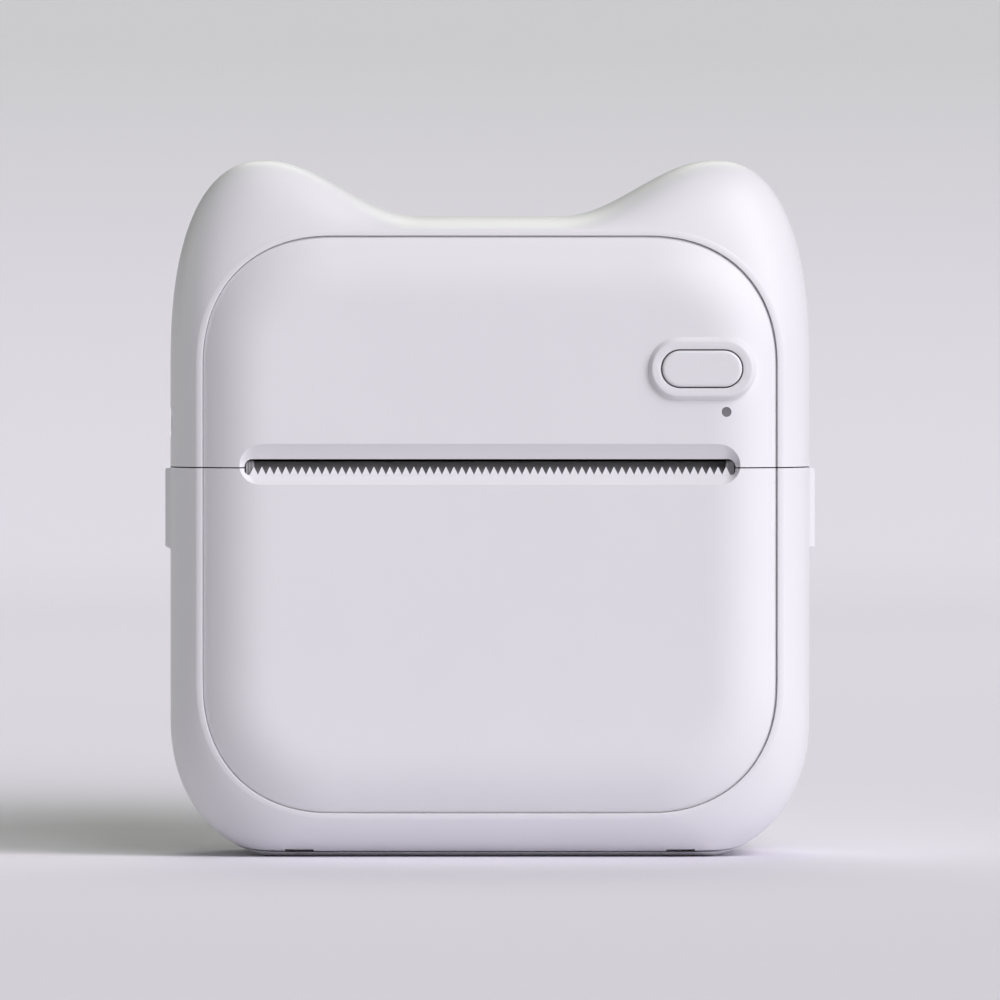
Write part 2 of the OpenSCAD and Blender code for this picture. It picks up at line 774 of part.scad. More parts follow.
// Raised pad under the seam, its ends run out into the side
module side_grip() {
    intersection() {
        hull() {
            along_y(grip_y0, grip_y1) polygon(grip_outline(half_w - 0.6));
            along_y(grip_y0 + 1.6, grip_y1 - 1.2) polygon(grip_outline(half_w + grip_proud));
        }
        lid_region();
    }
}
function grip_outline(x) = let (root = half_w - 1.2, low = grip_low - 0.2)
    [[root, low], [x, low], [x, seam_z], [root, seam_z]];

// Finger hollow below the pad
module side_scoop() {
    translate([half_w + scoop_r - scoop_depth, part_y - 4.8, scoop_z]) rotate([90, 0, 0])
        cylinder(h = 5, r = scoop_r, center = true, $fn = 64);
}

module lid_panel() {
    color(shell_white) difference() {
        union() {
            intersection() {
                full_panel();
                box([-60, 60], [-60, 60], [-1, seam_z - seam_gap / 2]);
            }
            both_sides() for (c = [bracket_screw, liner_screw])
                rod_y(inner_front_y - 0.3, c == bracket_screw ? bracket_y : liner_pad_y, 1.7, c);
        }
        slot_cut();
        box([-mouth_half, mouth_half], [mouth_y - 0.02, platen_y], [mouth_low - bar_drop - 0.1, seam_z + 1]);
        both_sides() for (c = [bracket_screw, liner_screw])
            rod_y(inner_front_y, platen_y, screw_d / 2, c);
    }
}

module tear_bar() {
    bar_half = mouth_half - 0.15;
    count = floor((2 * bar_half - 0.6) / tooth_pitch);
    start = -count * tooth_pitch / 2;
    saw = [for (i = [0:count - 1]) each [[start + i * tooth_pitch, 0],
        [start + (i + 0.5) * tooth_pitch, tooth_h]]];
    color(shell_white) translate([0, 0, mouth_low]) {
        along_y(mouth_y + 0.05, mouth_y + 0.05 + bar_t)
            polygon(concat([[-bar_half, -bar_drop], [-bar_half, 0]], saw,
                [[-start, 0], [bar_half, 0], [bar_half, -bar_drop]]));
        along_y(mouth_y + 0.05, bracket_y - 0.05)
            translate([-bar_half, -bar_drop]) square([2 * bar_half, 1.2]);
    }
}

// ---------- paper bay ----------

// Part of a tube round the paper roll, out to the outer radius of the bay
module bay_sector(a0, a1, r0, x0, x1) {
    translate([x0, bay_y, bay_z]) rotate([90, 0, 90]) rotate(a0)
        rotate_extrude(angle = a1 - a0, $fn = 96) translate([r0, 0]) square([bay_out - r0, x1 - x0]);
}

module paper_cradle() {
    color(inner_white) difference() {
        union() {
            bay_sector(cradle_a, cradle_a1, bay_r, -bay_half - cheek_t, bay_half + cheek_t);
            both_sides() {
                bay_sector(cradle_a, cradle_a1, bay_r - cheek_h, bay_half, bay_half + cheek_t);
                cradle_arm();
                rod_y(low_post_y - 3, low_post_y, low_post_r, low_screw);
                box([15, 17], [bay_y - 6, tail_y - 0.6], [wall, bay_z - bay_r - 0.4]);
            }
        }
        both_sides() rod_y(low_post_y - 2.8, low_post_y + 1, screw_d / 2, low_screw);
    }
}

module cradle_arm() {
    difference() {
        union() {
            rod_x(arm_x, arm_x1, knuckle_r, [hinge_y, hinge_z]);
            box([arm_x, arm_x1], [hinge_y, bay_y + bay_out * cos(cradle_a) + 1],
                [hinge_z - arm_low, hinge_z + arm_high]);
        }
        rod_x(0, half_w, hinge_pin_d / 2, [hinge_y, hinge_z]);
        rod_x(0, half_w, bay_r, [bay_y, bay_z]);
    }
}

module hinge_pins() {
    color(steel) both_sides() rod_x(lug_x - 0.2, arm_x1, hinge_pin_d / 2, [hinge_y, hinge_z]);
}

module lid_liner() {
    color(inner_white) difference() {
        union() {
            bay_sector(liner_a, liner_a1, bay_r, -bay_half - cheek_t, bay_half + cheek_t);
            both_sides() {
                bay_sector(liner_a, liner_a1, bay_r - cheek_h + 0.5, bay_half, bay_half + cheek_t);
                rod_y(liner_pad_y, liner_pad_y + liner_pad_t, post_r, liner_screw);
                lid_lug();
            }
        }
        both_sides() {
            rod_x(0, half_w, hinge_pin_d / 2 + run_gap, [hinge_y, hinge_z]);
            rod_y(liner_pad_y - 1, liner_pad_y + 4, screw_d / 2 + screw_clear, liner_screw);
            rod_y(liner_pad_y + liner_pad_t, bay_y, screw_head_d / 2 + head_clear, liner_screw);
        }
    }
}

// Ear of the lid that turns on the hinge pin
module lid_lug() {
    rod_x(lug_x, lug_x + lug_w, knuckle_r, [hinge_y, hinge_z]);
    along_x(lug_x, lug_x + lug_w) polygon([
        [hinge_y - 1.8, hinge_z], [hinge_y + knuckle_r, hinge_z],
        [hinge_y + 1, hinge_z + 5.4], [hinge_y - 2.4, hinge_z + 8], [hinge_y - 1.8, hinge_z + 1.6]]);
}

module liner_screws() {
    color(steel) both_sides() screw_y(liner_screw, liner_pad_y + liner_pad_t, liner_screw_l, -1);
}

// ---------- platen on the lid ----------

module platen_bracket() {
    color(steel) difference() {
        union() {
            box([-arm_x0 - arm_t, arm_x0 + arm_t], [bracket_y, bracket_y + bracket_t],
                [bracket_low, bracket_high]);
            both_sides() bracket_tab();
            both_sides() along_x(arm_x0, arm_x0 + arm_t) polygon([
                [bracket_y, bracket_low], [platen_y + 1, bracket_low], [platen_y + 3.4, bracket_low + 2],
                [platen_y + 3.4, bracket_high], [platen_y + 1.6, bracket_high + 1.4],
                [bracket_y + 2, bracket_high + 1.4], [bracket_y, bracket_high]]);
        }
        both_sides() {
            rod_x(arm_x0 - 1, arm_x0 + arm_t + 1, bush_d / 2 + 0.01, platen_c);
            rod_y(bracket_y - 1, bracket_y + 2, screw_d / 2 + screw_clear, bracket_screw);
        }
        rod_x(-bay_half + 0.3, bay_half - 0.3, platen_r + 0.35, platen_c);
    }
}

// Ear of the bracket under the roller, with a rounded end
module bracket_tab() {
    rod_y(bracket_y, bracket_y + bracket_t, post_r, bracket_screw);
    box([bracket_screw[0] - post_r, bracket_screw[0] + post_r], [bracket_y, bracket_y + bracket_t],
        [bracket_screw[1], bracket_low + 0.4]);
}

module bracket_screws() {
    color(steel) both_sides() screw_y(bracket_screw, bracket_y + bracket_t, bracket_screw_l, -1);
}

module platen_bushings() {
    color("#2c2d30") both_sides() difference() {
        union() {
            rod_x(arm_x0, plate_x, bush_d / 2, platen_c);
            rod_x(arm_x0 + arm_t, plate_x + plate_t, bush_big_d / 2, platen_c);
        }
        rod_x(arm_x0 - 1, half_w, platen_shaft_d / 2 + run_gap, platen_c);
    }
}

module platen_shaft() {
    color(steel) rod_x(-plate_x - plate_t - 0.4, gear_x + gear_t, platen_shaft_d / 2, platen_c);
}

module platen_roller() {
    color("#1e1f21") difference() {
        rod_x(-platen_half, platen_half, platen_r, platen_c);
        rod_x(-half_w, half_w, platen_shaft_d / 2, platen_c);
    }
}

module platen_gear() {
    color(gear_white) difference() {
        gear(teeth_platen, platen_c, phase_platen, gear_x, gear_x + gear_t);
        rod_x(gear_x - 1, half_w, platen_shaft_d / 2, platen_c);
    }
}

// ---------- gear train ----------

module transfer_gear() {
    color(gear_white) difference() {
        union() {
            gear(teeth_small, transfer_c, phase_transfer_s, gear_x, gear_x2 + 0.2);
            gear(teeth_transfer, transfer_c, phase_transfer_b, gear_x2, gear_x2 + gear_t);
        }
        rod_x(gear_x - 1, half_w, post_d / 2 + run_gap, transfer_c);
    }
}

module reduction_gear() {
    color(gear_white) difference() {
        union() {
            gear(teeth_reduction, reduction_c, phase_reduction_b, gear_x, gear_x + gear_t);
            gear(teeth_small, reduction_c, phase_reduction_s, gear_x + gear_t - 0.2, gear_x2 + gear_t);
        }
        rod_x(gear_x - 1, half_w, post_d / 2 + run_gap, reduction_c);
    }
}

module motor_pinion() {
    color("#c9a24a") difference() {
        gear(teeth_small, motor_c, phase_motor, gear_x, gear_x + gear_t);
        rod_x(gear_x - 1, half_w, motor_shaft_r, motor_c);
    }
}

module motor_shaft() {
    color(steel) rod_x(plate_x - 0.9, gear_x + gear_t + 0.4, motor_shaft_r, motor_c);
}

module motor_can() {
    ear = motor_d / 2 + motor_ear_out;
    color("#a9acb0") difference() {
        union() {
            rod_x(motor_x, plate_x - motor_flange, motor_d / 2, motor_c);
            rod_x(plate_x - 0.9, plate_x, 3, motor_c);
            along_x(plate_x - motor_flange, plate_x) translate(motor_c) rotate(motor_turn) difference() {
                union() {
                    circle(motor_d / 2 + 0.3, $fn = 64);
                    square([2 * ear, 4], center = true);
                    for (s = [-1, 1]) translate([s * ear, 0]) circle(2, $fn = 32);
                }
                for (s = [-1, 1]) translate([s * ear, 0]) circle(ear_screw_r + screw_clear, $fn = 32);
            }
        }
        rod_x(plate_x - 2, half_w, motor_shaft_r + run_gap, motor_c);
    }
}

module motor_screws() {
    color(steel) for (c = motor_ear) {
        rod_x(plate_x - 1.6, plate_x + plate_t, ear_screw_r, c);
        rod_x(plate_x - 1.8, plate_x - motor_flange, 1.5, c);
    }
}

module gear_posts() {
    color(steel) for (c = [transfer_c, reduction_c])
        rod_x(plate_x, gear_x2 + gear_t + 0.9, post_d / 2, c);
}

module gear_clips() {
    color("#7d8085") for (c = [transfer_c, reduction_c]) difference() {
        rod_x(gear_x2 + gear_t + 0.1, gear_x2 + gear_t + 0.1 + clip_t, post_d, c);
        rod_x(gear_x - 1, half_w, post_d / 2, c);
        box([gear_x, half_w], [c[0] - 0.6, c[0] + 0.6], [c[1], c[1] + 3]);
    }
}

module motor_leads() {
    lead_r = 0.4;
    color("#c04a3a") for (k = [0:3]) let (x = lead_x + lead_pitch * k)
        wire([[x, motor_c[0] - motor_d / 2 - 0.1, motor_c[1] + 1], [x, board_y + 4.8, socket_z - 5],
            [x, board_y + 1, socket_z - 2], [x, board_y + 1, socket_z]], lead_r);
}

// ---------- print head ----------

module side_plate(tall) {
    top = tall ? motor_top + 1.2 : platen_z + 8;
    rear = tall ? motor_back + 1.6 : crossbar_y + crossbar_t;
    foot = bracket_low;
    low = pivot_c[1] - 1.9;
    roof = seam_z - 0.45;
    along_x(plate_x, plate_x + plate_t) difference() {
        polygon([
            [front_edge, foot], [front_edge + 2, low], [pivot_c[0] + 2.4, low],
            [crossbar_y + crossbar_t, foot], [rear, tall ? platen_z + 7 : platen_z + 2],
            [rear, top - 2], [rear - 2, top], [tall ? motor_c[0] - 7 : platen_y + 8, top],
            [platen_y + 3, roof], [front_edge, roof]]);
        hull() for (p = [[0, 0], [8, 0], [8, 1.1]])
            translate(platen_c - p[0] * away - p[1] * along) circle(bush_big_d / 2 + 0.1, $fn = facet_round);
        translate(pivot_c) circle(pivot_d / 2, $fn = facet_round);
        if (tall) {
            for (c = [transfer_c, reduction_c]) translate(c) circle(post_d / 2, $fn = facet_round);
            for (c = motor_ear) translate(c) circle(ear_screw_r, $fn = facet_round);
            translate(motor_c) circle(3.1, $fn = 48);
        }
    }
}

module head_chassis() {
    color("#8f9296") difference() {
        union() {
            side_plate(true);
            mirror([1, 0, 0]) side_plate(false);
            box([-plate_x - 0.2, plate_x + 0.2], [crossbar_y, crossbar_y + crossbar_t],
                [platen_z - 4, platen_z + 4.6]);
        }
        both_sides() rod_y(crossbar_y - 1, crossbar_y + 3, screw_d / 2 + screw_clear, chassis_screw);
        for (x = [-8, 8]) rod_y(crossbar_y - 1, crossbar_y + 3, post_r, [x, platen_z + 0.6]);
    }
}

module chassis_screws() {
    color(steel) both_sides() screw_y(chassis_screw, crossbar_y, chassis_screw_l);
}

module head_pivot_pin() {
    color(steel) rod_x(-plate_x - plate_t, plate_x + plate_t, pivot_d / 2, pivot_c);
}

module head_heatsink() {
    color("#c4c7ca") difference() {
        along_x(-head_half, head_half) polygon([
            head_pt(n1, -5.5), head_pt(n2, -5.5), head_pt(n2, 5.2), head_pt(n1, 5.2)]);
        rod_x(-half_w, half_w, pivot_d / 2 + run_gap, pivot_c);
        for (x = [-fin_half:fin_pitch:fin_half]) along_x(x - 1.2, x + 1.2) polygon([
            head_pt(n2 - 1.2, -2.4), head_pt(n2 + 1, -2.4), head_pt(n2 + 1, 0.8), head_pt(n2 - 1.2, 0.8)]);
    }
}

module head_ceramic() {
    color("#e8e4da") along_x(-head_half + 0.5, head_half - 0.5) polygon([
        head_pt(n0, -3.4), head_pt(n1, -3.4), head_pt(n1, 5.2), head_pt(n0, 5.2)]);
}

module head_springs() {
    seat = head_pt(n2, 3);
    pitch = (crossbar_y - spring_gap - 2 * spring_wire - seat[0]) / spring_turns;
    color(steel) both_sides() translate([spring_x, seat[0], seat[1]]) rotate([-90 + angle_1, 0, 0]) {
        for (k = [0:spring_turns]) translate([0, 0, spring_wire + k * pitch])
            ring_solid(spring_r, spring_wire);
        for (k = [0:spring_turns - 1]) translate([spring_r, 0, spring_wire + k * pitch])
            cylinder(h = pitch, r = 0.2, $fn = 12);
    }
}

module ring_solid(r, t) {
    rotate_extrude($fn = 24) translate([r, 0]) circle(t, $fn = 10);
}

module head_ribbon() {
    foot = head_pt(n1 - 0.5, 5.3);
    bend = ribbon_z - 7;
    color("#c98a3c") along_x(-ribbon_half, ribbon_half) polygon([
        foot, foot + [ribbon_t, 0], [foot[0] + ribbon_t, bend], [ribbon_y + ribbon_t, ribbon_z - 2.3],
        [ribbon_y + ribbon_t, ribbon_z], [ribbon_y, ribbon_z], [ribbon_y, ribbon_z - 2.4],
        [foot[0], bend - 0.1]]);
}

module paper_guide() {
    g0 = inner_front_y + 0.5;
    g1 = platen_y + 3.8;
    lip_z = mouth_low + mouth_h;
    color(guide_dark) difference() {
        along_x(-guide_half, guide_half) polygon([
            [g0, lip_z + 0.1], [g0 + 2, lip_z], [g1 - 1, lip_z - 0.7], [g1, lip_z - 0.2],
            [g1, lip_z + 0.9], [g0 + 1, lip_z + 1.8], [g0, lip_z + 1.8]]);
        box([sensor_x - 0.2, sensor_x + sensor_w + 0.2], [sensor_y - 0.1, sensor_y + 2.1], [48, 52]);
    }
}

module paper_sensor() {
    color("#26272a") box([sensor_x, sensor_x + sensor_w], [sensor_y, sensor_y + 2],
        [mouth_low + 1.2, mouth_low + 3.2]);
}

// ---------- electronics ----------

module main_board() {
    color(board_green) difference() {
        along_y(board_front, board_y) offset(r = 2, $fn = 24) offset(delta = -2)
            translate([board_x0, board_z0]) square([board_x1 - board_x0, board_z1 - board_z0]);
        for (c = board_posts) rod_y(board_front - 1, board_y + 1, screw_d / 2 + screw_clear, c);
    }
}

module board_chips() {
    color("#2a2b2e") {
        chip_back([-4.5, 0.61], [7, 7], 1);
        chip_back([6.5, 0.634], [5, 4], 1.2);
        chip_back([board_x0 + 10.5, 0.512], [4, 5], 0.9);
        chip_front([-12.25, 0.475], [3.5, 3.5], 1.4);
        box([lead_x - 0.8, lead_x + 3 * lead_pitch + 0.8], [board_y, board_y + 1.9],
            [socket_z, socket_z + 4.6]);
        difference() {
            box([-ribbon_half - 0.7, ribbon_half + 0.7], [board_y, board_y + 2.2],
                [ribbon_z - 1.1, ribbon_z + 0.7]);
            box([-ribbon_half - 0.05, ribbon_half + 0.05], [ribbon_y - 0.05, ribbon_y + ribbon_t + 0.05],
                [ribbon_z - 2, ribbon_z + 0.05]);
        }
    }
}

// A chip behind or before the board. Its height is a share of the board's height.
function chip_z(up) = mix(board_z0, board_z1, up);
module chip_back(at, size, t) {
    box([at[0] - size[0] / 2, at[0] + size[0] / 2], [board_y, board_y + t],
        [chip_z(at[1]) - size[1] / 2, chip_z(at[1]) + size[1] / 2]);
}
module chip_front(at, size, t) {
    translate([0, -board_t - t, 0]) chip_back(at, size, t);
}

module usb_socket() {
    color(steel) translate([-half_w + 0.6, usb_y, usb_z]) rotate([90, 0, 90]) {
        difference() {
            linear_extrude(usb_l) oval(usb_w, usb_h);
            translate([0, 0, -1]) linear_extrude(usb_l) oval(usb_w - 0.6, usb_h - 0.6);
        }
        linear_extrude(usb_l - 0.8) square([usb_w - 2.4, 0.7], center = true);
    }
    color(steel) box([-half_w + 2.6, -half_w + usb_l + 2.4], [board_y, board_y + 1.3],
        [usb_z - 1.2, usb_z + 1.2]);
}

module tact_switch() {
    color("#b7b9bc") difference() {
        box([button_x - switch_w / 2, button_x + switch_w / 2], [board_front - switch_t, board_front],
            [button_z - switch_w / 2, button_z + switch_w / 2]);
        rod_y(board_front - switch_t - 1, board_front - 1, plunger_r + run_gap, [button_x, button_z]);
    }
}

module switch_plunger() {
    color("#1d1e20") rod_y(plunger_y, board_front - 1.4, plunger_r, [button_x, button_z]);
}

module status_led() {
    color("#dfe8d8") box([light_x - 0.8, light_x + 0.8], [board_front - led_t, board_front],
        [light_z - 0.4, light_z + 0.4]);
}

module board_screws() {
    color(steel) for (c = board_posts) screw_y(c, board_y, board_screw_l, -1);
}

// Pouch cell with rounded edges, and its folded seal with the protection board above
module battery() {
    color("#9aa3ad") {
        along_y(battery_y, battery_y + battery_t) offset(r = cell_r, $fn = 24) offset(delta = -cell_r)
            translate([battery_x0, battery_z0]) square([battery_w, battery_h - strip_h + 0.5]);
        box([battery_x0 + 3, battery_x1 - 3], [battery_y + 1, battery_y + 1 + strip_t],
            [battery_z1 - strip_h, battery_z1]);
    }
}

// Adhesive pad behind the battery
module battery_pad() {
    color("#f3e9c8") box([battery_x0 + pad_in, battery_x1 - pad_in], [inner_back_y - pad_t, inner_back_y],
        [battery_z0 + pad_in, battery_z1 - strip_h - pad_in]);
}

module battery_plug() {
    color("#efeee6") box([plug_x, plug_x + plug_w], [board_y, board_y + plug_t], [plug_z, plug_z + plug_h]);
}

module battery_leads() {
    lead_r = 0.5;
    start = plug_x + plug_w;
    color("#b43a34") for (k = [0, 1])
        let (z = plug_z + 1.8 + 2.2 * k, y = board_y + plug_t / 2, x = battery_x0 + 5.5 + 2 * k)
        wire([[start, y, z], [start + 1.6, y, z], [x, battery_y - 5, z + 6], [x, battery_y, z + 6]], lead_r);
}

module case_screws() {
    color(steel) both_sides() {
        screw_y(ear_screw, back_y - case_sink, ear_screw_l, -1);
        screw_y(low_screw, back_y - case_sink, low_screw_l, -1);
    }
}

rear_case();
front_frame();
upper_panel();
power_button();
light_pipe();
main_board();
board_chips();
usb_socket();
tact_switch();
switch_plunger();
status_led();
board_screws();
battery();
battery_pad();
battery_plug();
battery_leads();
paper_guide();
paper_sensor();
head_chassis();
head_pivot_pin();
head_heatsink();
head_ceramic();
head_springs();
head_ribbon();
motor_can();
motor_shaft();
motor_pinion();
reduction_gear();
transfer_gear();
gear_posts();
gear_clips();
motor_screws();
motor_leads();
chassis_screws();
case_screws();
paper_cradle();
hinge_pins();
lid_frame();
lid_panel();
tear_bar();
lid_liner();
liner_screws();
platen_bracket();
bracket_screws();
platen_bushings();
platen_shaft();
platen_roller();
platen_gear();
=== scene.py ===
import json
import math

import bmesh
import bpy
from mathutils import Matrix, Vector

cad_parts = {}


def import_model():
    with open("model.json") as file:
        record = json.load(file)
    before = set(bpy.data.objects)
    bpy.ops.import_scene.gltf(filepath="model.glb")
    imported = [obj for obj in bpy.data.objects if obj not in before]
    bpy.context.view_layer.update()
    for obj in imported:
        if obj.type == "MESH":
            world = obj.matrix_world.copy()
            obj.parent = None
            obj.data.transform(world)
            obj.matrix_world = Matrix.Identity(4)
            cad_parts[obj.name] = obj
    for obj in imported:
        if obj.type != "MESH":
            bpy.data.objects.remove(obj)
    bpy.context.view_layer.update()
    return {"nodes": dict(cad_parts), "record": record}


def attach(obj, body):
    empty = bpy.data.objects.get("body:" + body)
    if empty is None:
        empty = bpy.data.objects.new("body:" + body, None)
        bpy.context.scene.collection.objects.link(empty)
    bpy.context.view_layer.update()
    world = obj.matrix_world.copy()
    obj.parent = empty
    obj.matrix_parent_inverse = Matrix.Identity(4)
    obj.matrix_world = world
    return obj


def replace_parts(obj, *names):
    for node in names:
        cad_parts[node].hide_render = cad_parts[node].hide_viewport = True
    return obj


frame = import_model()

MM = 0.001

# ---------- sizes in millimetres ----------
# Most are the solids' own. Only this file has the depth of the border and its ridge, the curve
# of the pillow, the button's outline, the soft edges of the grips and the ramp in the slot.

# The body and its ears
HALF_W, BODY_H, WALL = 39.25, 78.5, 1.9
EAR_H, EAR_X, EAR_FOOT = 6.9, 27.6, 8.6
SHOULDER_DROP, SHOULDER_N = 25.4, 2.4
FOOT_X, FOOT_Z, FOOT_N, FOOT_FLAT = 24.0, 17.0, 2.15, 0.3

# Depths, from the face of the button to the back
FACE_Y, BOSS_Y, PILLOW_Y, EDGE_Y, RIDGE_Y = -20.0, -19.8, -19.1, -16.4, -16.42
BORDER_TURN, SIDE_Y, PART_Y, BORDER_END = 0.85, -8.5, 0.5, 1.5
BORDER_DEEP, RIDGE_THIN = SIDE_Y - RIDGE_Y, 0.3
INNER_FRONT_Y, INNER_BACK_Y = -17.2, 18.1
BACK_Y, BACK_ROUND, TAIL_Y = 20.0, 10.5, 9.5

# The front panels and the seams
RIM_Y, RIM_T, RIM_W = -15.05, 1.05, 0.8
SEAM_HALF, PANEL_Z0, PANEL_H, PANEL_R = 35.05, 5.64, 70.45, 16.0
PANEL_MID = PANEL_Z0 + PANEL_H / 2
SQUIRCLE_N = 2.25
CHAMFER, SEAM_GAP, SEAM_Z = 1.0, 0.15, 47.85
SEAM_HIGH, SEAM_LOW = SEAM_Z + SEAM_GAP / 2, SEAM_Z - SEAM_GAP / 2
PILLOW_H, PILLOW_W, PILLOW_N = 2.7, 8.3, 2.35

# The lid and its hinge
HINGE_Y, HINGE_Z, TOE_R, SIDE_GAP = -12.0, 6.1, 5.3, 0.25
LID_FLAT_Y = HINGE_Y + 1
LID_TOP_R = math.hypot(LID_FLAT_Y - HINGE_Y, SEAM_Z - HINGE_Z)
ARM_X0, ARM_X1, ARM_FRONT = 21.65, 25.15, 0.4

# The slot, its mouth and the ramp behind it
RIM_HALF, RIM_TOP, RIM_LOW = 30.9, 50.8, 45.77
MOUTH_HALF, MOUTH_LOW, MOUTH_H, MOUTH_Y = 30.06, 47.0, 1.9, -17.8
POCKET_LOW, POCKET_BACK_Y = MOUTH_LOW - 2.6, -5
GUIDE_Y0, GUIDE_Y1, GUIDE_FOOT_Z, GUIDE_CREST_Z = -16.9, -14.9, 45.7, 48.62
GUIDE_HALF, END_W, END_RISE, GROOVE_HALF, GROOVE_DEEP = 28.9, 1.0, 0.12, 0.05, 0.12

# The button, the status light and the socket
BUTTON_X, BUTTON_Z, BUTTON_W, BUTTON_H, BUTTON_GAP = 25.97, 60.0, 9.78, 4.44, 0.3
BOSS_GROW_W, BOSS_GROW_H, BOSS_FLANK = 2.3, 2.1, 0.62
BUTTON_RIM, STEM_R, STEM_Y = 1.8, 1.3, -15.35
LIGHT_X, LIGHT_Z, LIGHT_D = 28.96, 54.7, 1.1
USB_Y, USB_Z, USB_W, USB_H = -6.13, 53.3, 8.94, 3.26
PORT_GROW_W, PORT_GROW_H, PORT_X0, PORT_X1 = 0.7, 0.54, -42, -35

# The grips and the finger hollow under each
GRIP_LOW, GRIP_RISE, GRIP_TOP, GRIP_FALL = 37.72, 0.36, 47.3, 0.62
GRIP_PROUD, GRIP_SIDE_X, GRIP_Y0, GRIP_Y1, GRIP_EASE0, GRIP_EASE1 = 0.65, 36, -9.6, -0.1, 1.2, 1.0
HOLLOW_Z, HOLLOW_R, HOLLOW_OUT = 35.3, 6, 5.6
HOLLOW_Y0, HOLLOW_Y1, HOLLOW_EASE = -7.3, -1.3, 1.2

# The rear case: its flat back, screw posts (x, z, radius, front) and battery fence (x0, x1, z0, z1)
BACK_HALF_W, BACK_HALF_H, BACK_MID, BACK_R, BACK_EDGE = 33.75, 34.25, 39.25, 14.0, 0.6
CASE_FRONT_Y, BACK_THIN = -12.6, 0.6
REAR_POSTS = [(28.5, 68.0, 2.4, 0.5), (20.0, 40.0, 2.0, 5.2), (24.0, 9.5, 2.2, 15.7)]
SCREWS = [(28.5, 68.0), (24.0, 9.5)]
BORE_R, HEAD_R, HEAD_MOUTH_R, HEAD_DEEP = 1.1, 2.05, 2.25, 1.5
FENCE, FENCE_Y = [(-21.5, 10.5, 40.9, 41.9), (14.9, 15.9, 46.3, 68.3)], 15.1
WELD = 0.3    # how far a post or rib goes into the wall that carries it

# Limits well outside the part, for tools that cut right through it
FAR, ABOVE, BELOW, BEFORE = 60, 120, -1, -21


# ---------- modelling helpers ----------

def pick(obj):
    if bpy.context.mode != "OBJECT":
        bpy.ops.object.mode_set(mode="OBJECT")
    bpy.ops.object.select_all(action="DESELECT")
    obj.select_set(True)
    bpy.context.view_layer.objects.active = obj


def name_piece(name):
    obj = bpy.context.object
    obj.name = obj.data.name = name
    return obj


def new_ring(name, ring):
    """A bare circle whose points are put on a ring given in millimetres."""
    bpy.ops.object.select_all(action="DESELECT")
    bpy.ops.mesh.primitive_circle_add(vertices=len(ring), radius=1)
    obj = name_piece(name)
    bpy.ops.object.mode_set(mode="EDIT")
    bpy.ops.mesh.select_all(action="SELECT")
    mesh = bmesh.from_edit_mesh(obj.data)
    mesh.verts.ensure_lookup_table()
    for v, p in zip(mesh.verts, ring):
        v.co = Vector(p) * MM
    return obj


def loft(name, rings, loop=False):
    """Extrudes a circle through rings of equal length, and closes its ends or joins them."""
    obj = new_ring(name, rings[0])
    path = rings[1:] + (rings[:1] if loop else [])
    count = len(rings[0])
    mesh = bmesh.from_edit_mesh(obj.data)
    order = {i: i for i in range(count)}
    for ring in path:
        bpy.ops.mesh.extrude_region_move()
        mesh = bmesh.from_edit_mesh(obj.data)
        mesh.verts.ensure_lookup_table()
        fresh = {}
        for v in mesh.verts:
            if v.select:
                spot = next(order[o.index] for o in (e.other_vert(v) for e in v.link_edges)
                            if o.index in order)
                fresh[v.index] = spot
                v.co = Vector(ring[spot]) * MM
        order = fresh
    bmesh.update_edit_mesh(obj.data)
    if loop:
        bpy.ops.mesh.select_all(action="SELECT")
        bpy.ops.mesh.remove_doubles(threshold=1e-6)
    else:
        for members in (list(range(count)), list(order)):
            mesh = bmesh.from_edit_mesh(obj.data)
            bpy.ops.mesh.select_all(action="DESELECT")
            mesh.verts.ensure_lookup_table()
            for i in members:
                mesh.verts[i].select = True
            mesh.select_flush(True)
            bpy.ops.mesh.edge_face_add()
    bpy.ops.mesh.select_all(action="SELECT")
    bpy.ops.mesh.normals_make_consistent(inside=False)
    bpy.ops.object.mode_set(mode="OBJECT")
    return obj


def prism_x(name, outline, x0, x1):
    """A (y, z) outline extruded along X."""
    return loft(name, [[(x, y, z) for y, z in outline] for x in (x0, x1)])


def at(ring, y):
    """An (x, z) ring stood at a depth."""
    return [(x, y, z) for x, z in ring]


def prism_y(name, outline, y0, y1):
    """An (x, z) outline extruded along Y."""
    return loft(name, [at(outline, y) for y in (y0, y1)])


def arc(c, r, a0, a1, steps):
    """Points round a centre from one angle to another, in degrees."""
    turns = [math.radians(a0 + (a1 - a0) * i / steps) for i in range(steps + 1)]
    return [(c[0] + r * math.cos(a), c[1] + r * math.sin(a)) for a in turns]


def circle(c, r, steps):
    return arc(c, r, 0, 360 - 360 / steps, steps - 1)


def oval(c, w, h, steps=24):
    """A flat oval: two half circles joined by straight lines."""
    r, s = h / 2, (w - h) / 2
    return arc((c[0] + s, c[1]), r, -90, 90, steps) + arc((c[0] - s, c[1]), r, 90, 270, steps)


def oval_rings(c, w, h, stations, steps=24):
    """Rings of one oval, each grown by its own amount at its own depth."""
    return [at(oval(c, w + grow, h + grow, steps), y) for grow, y in stations]


def round_rings(c, stations, steps):
    """Rings round one centre, each with its own radius at its own depth."""
    return [at(circle(c, r, steps), y) for r, y in stations]


def with_tool(obj, tool, operation="DIFFERENCE"):
    """Cuts with a tool, keeps what it covers, or joins it, and removes the tool."""
    pick(obj)
    cut = obj.modifiers.new("cut", "BOOLEAN")
    cut.operation = operation
    cut.solver = "EXACT"
    cut.object = tool
    bpy.ops.object.modifier_apply(modifier=cut.name)
    bpy.data.objects.remove(tool)


def keep_within(obj, outline):
    """Cuts away what lies outside a (y, z) outline."""
    with_tool(obj, prism_x("keep", outline, -FAR, FAR), "INTERSECT")


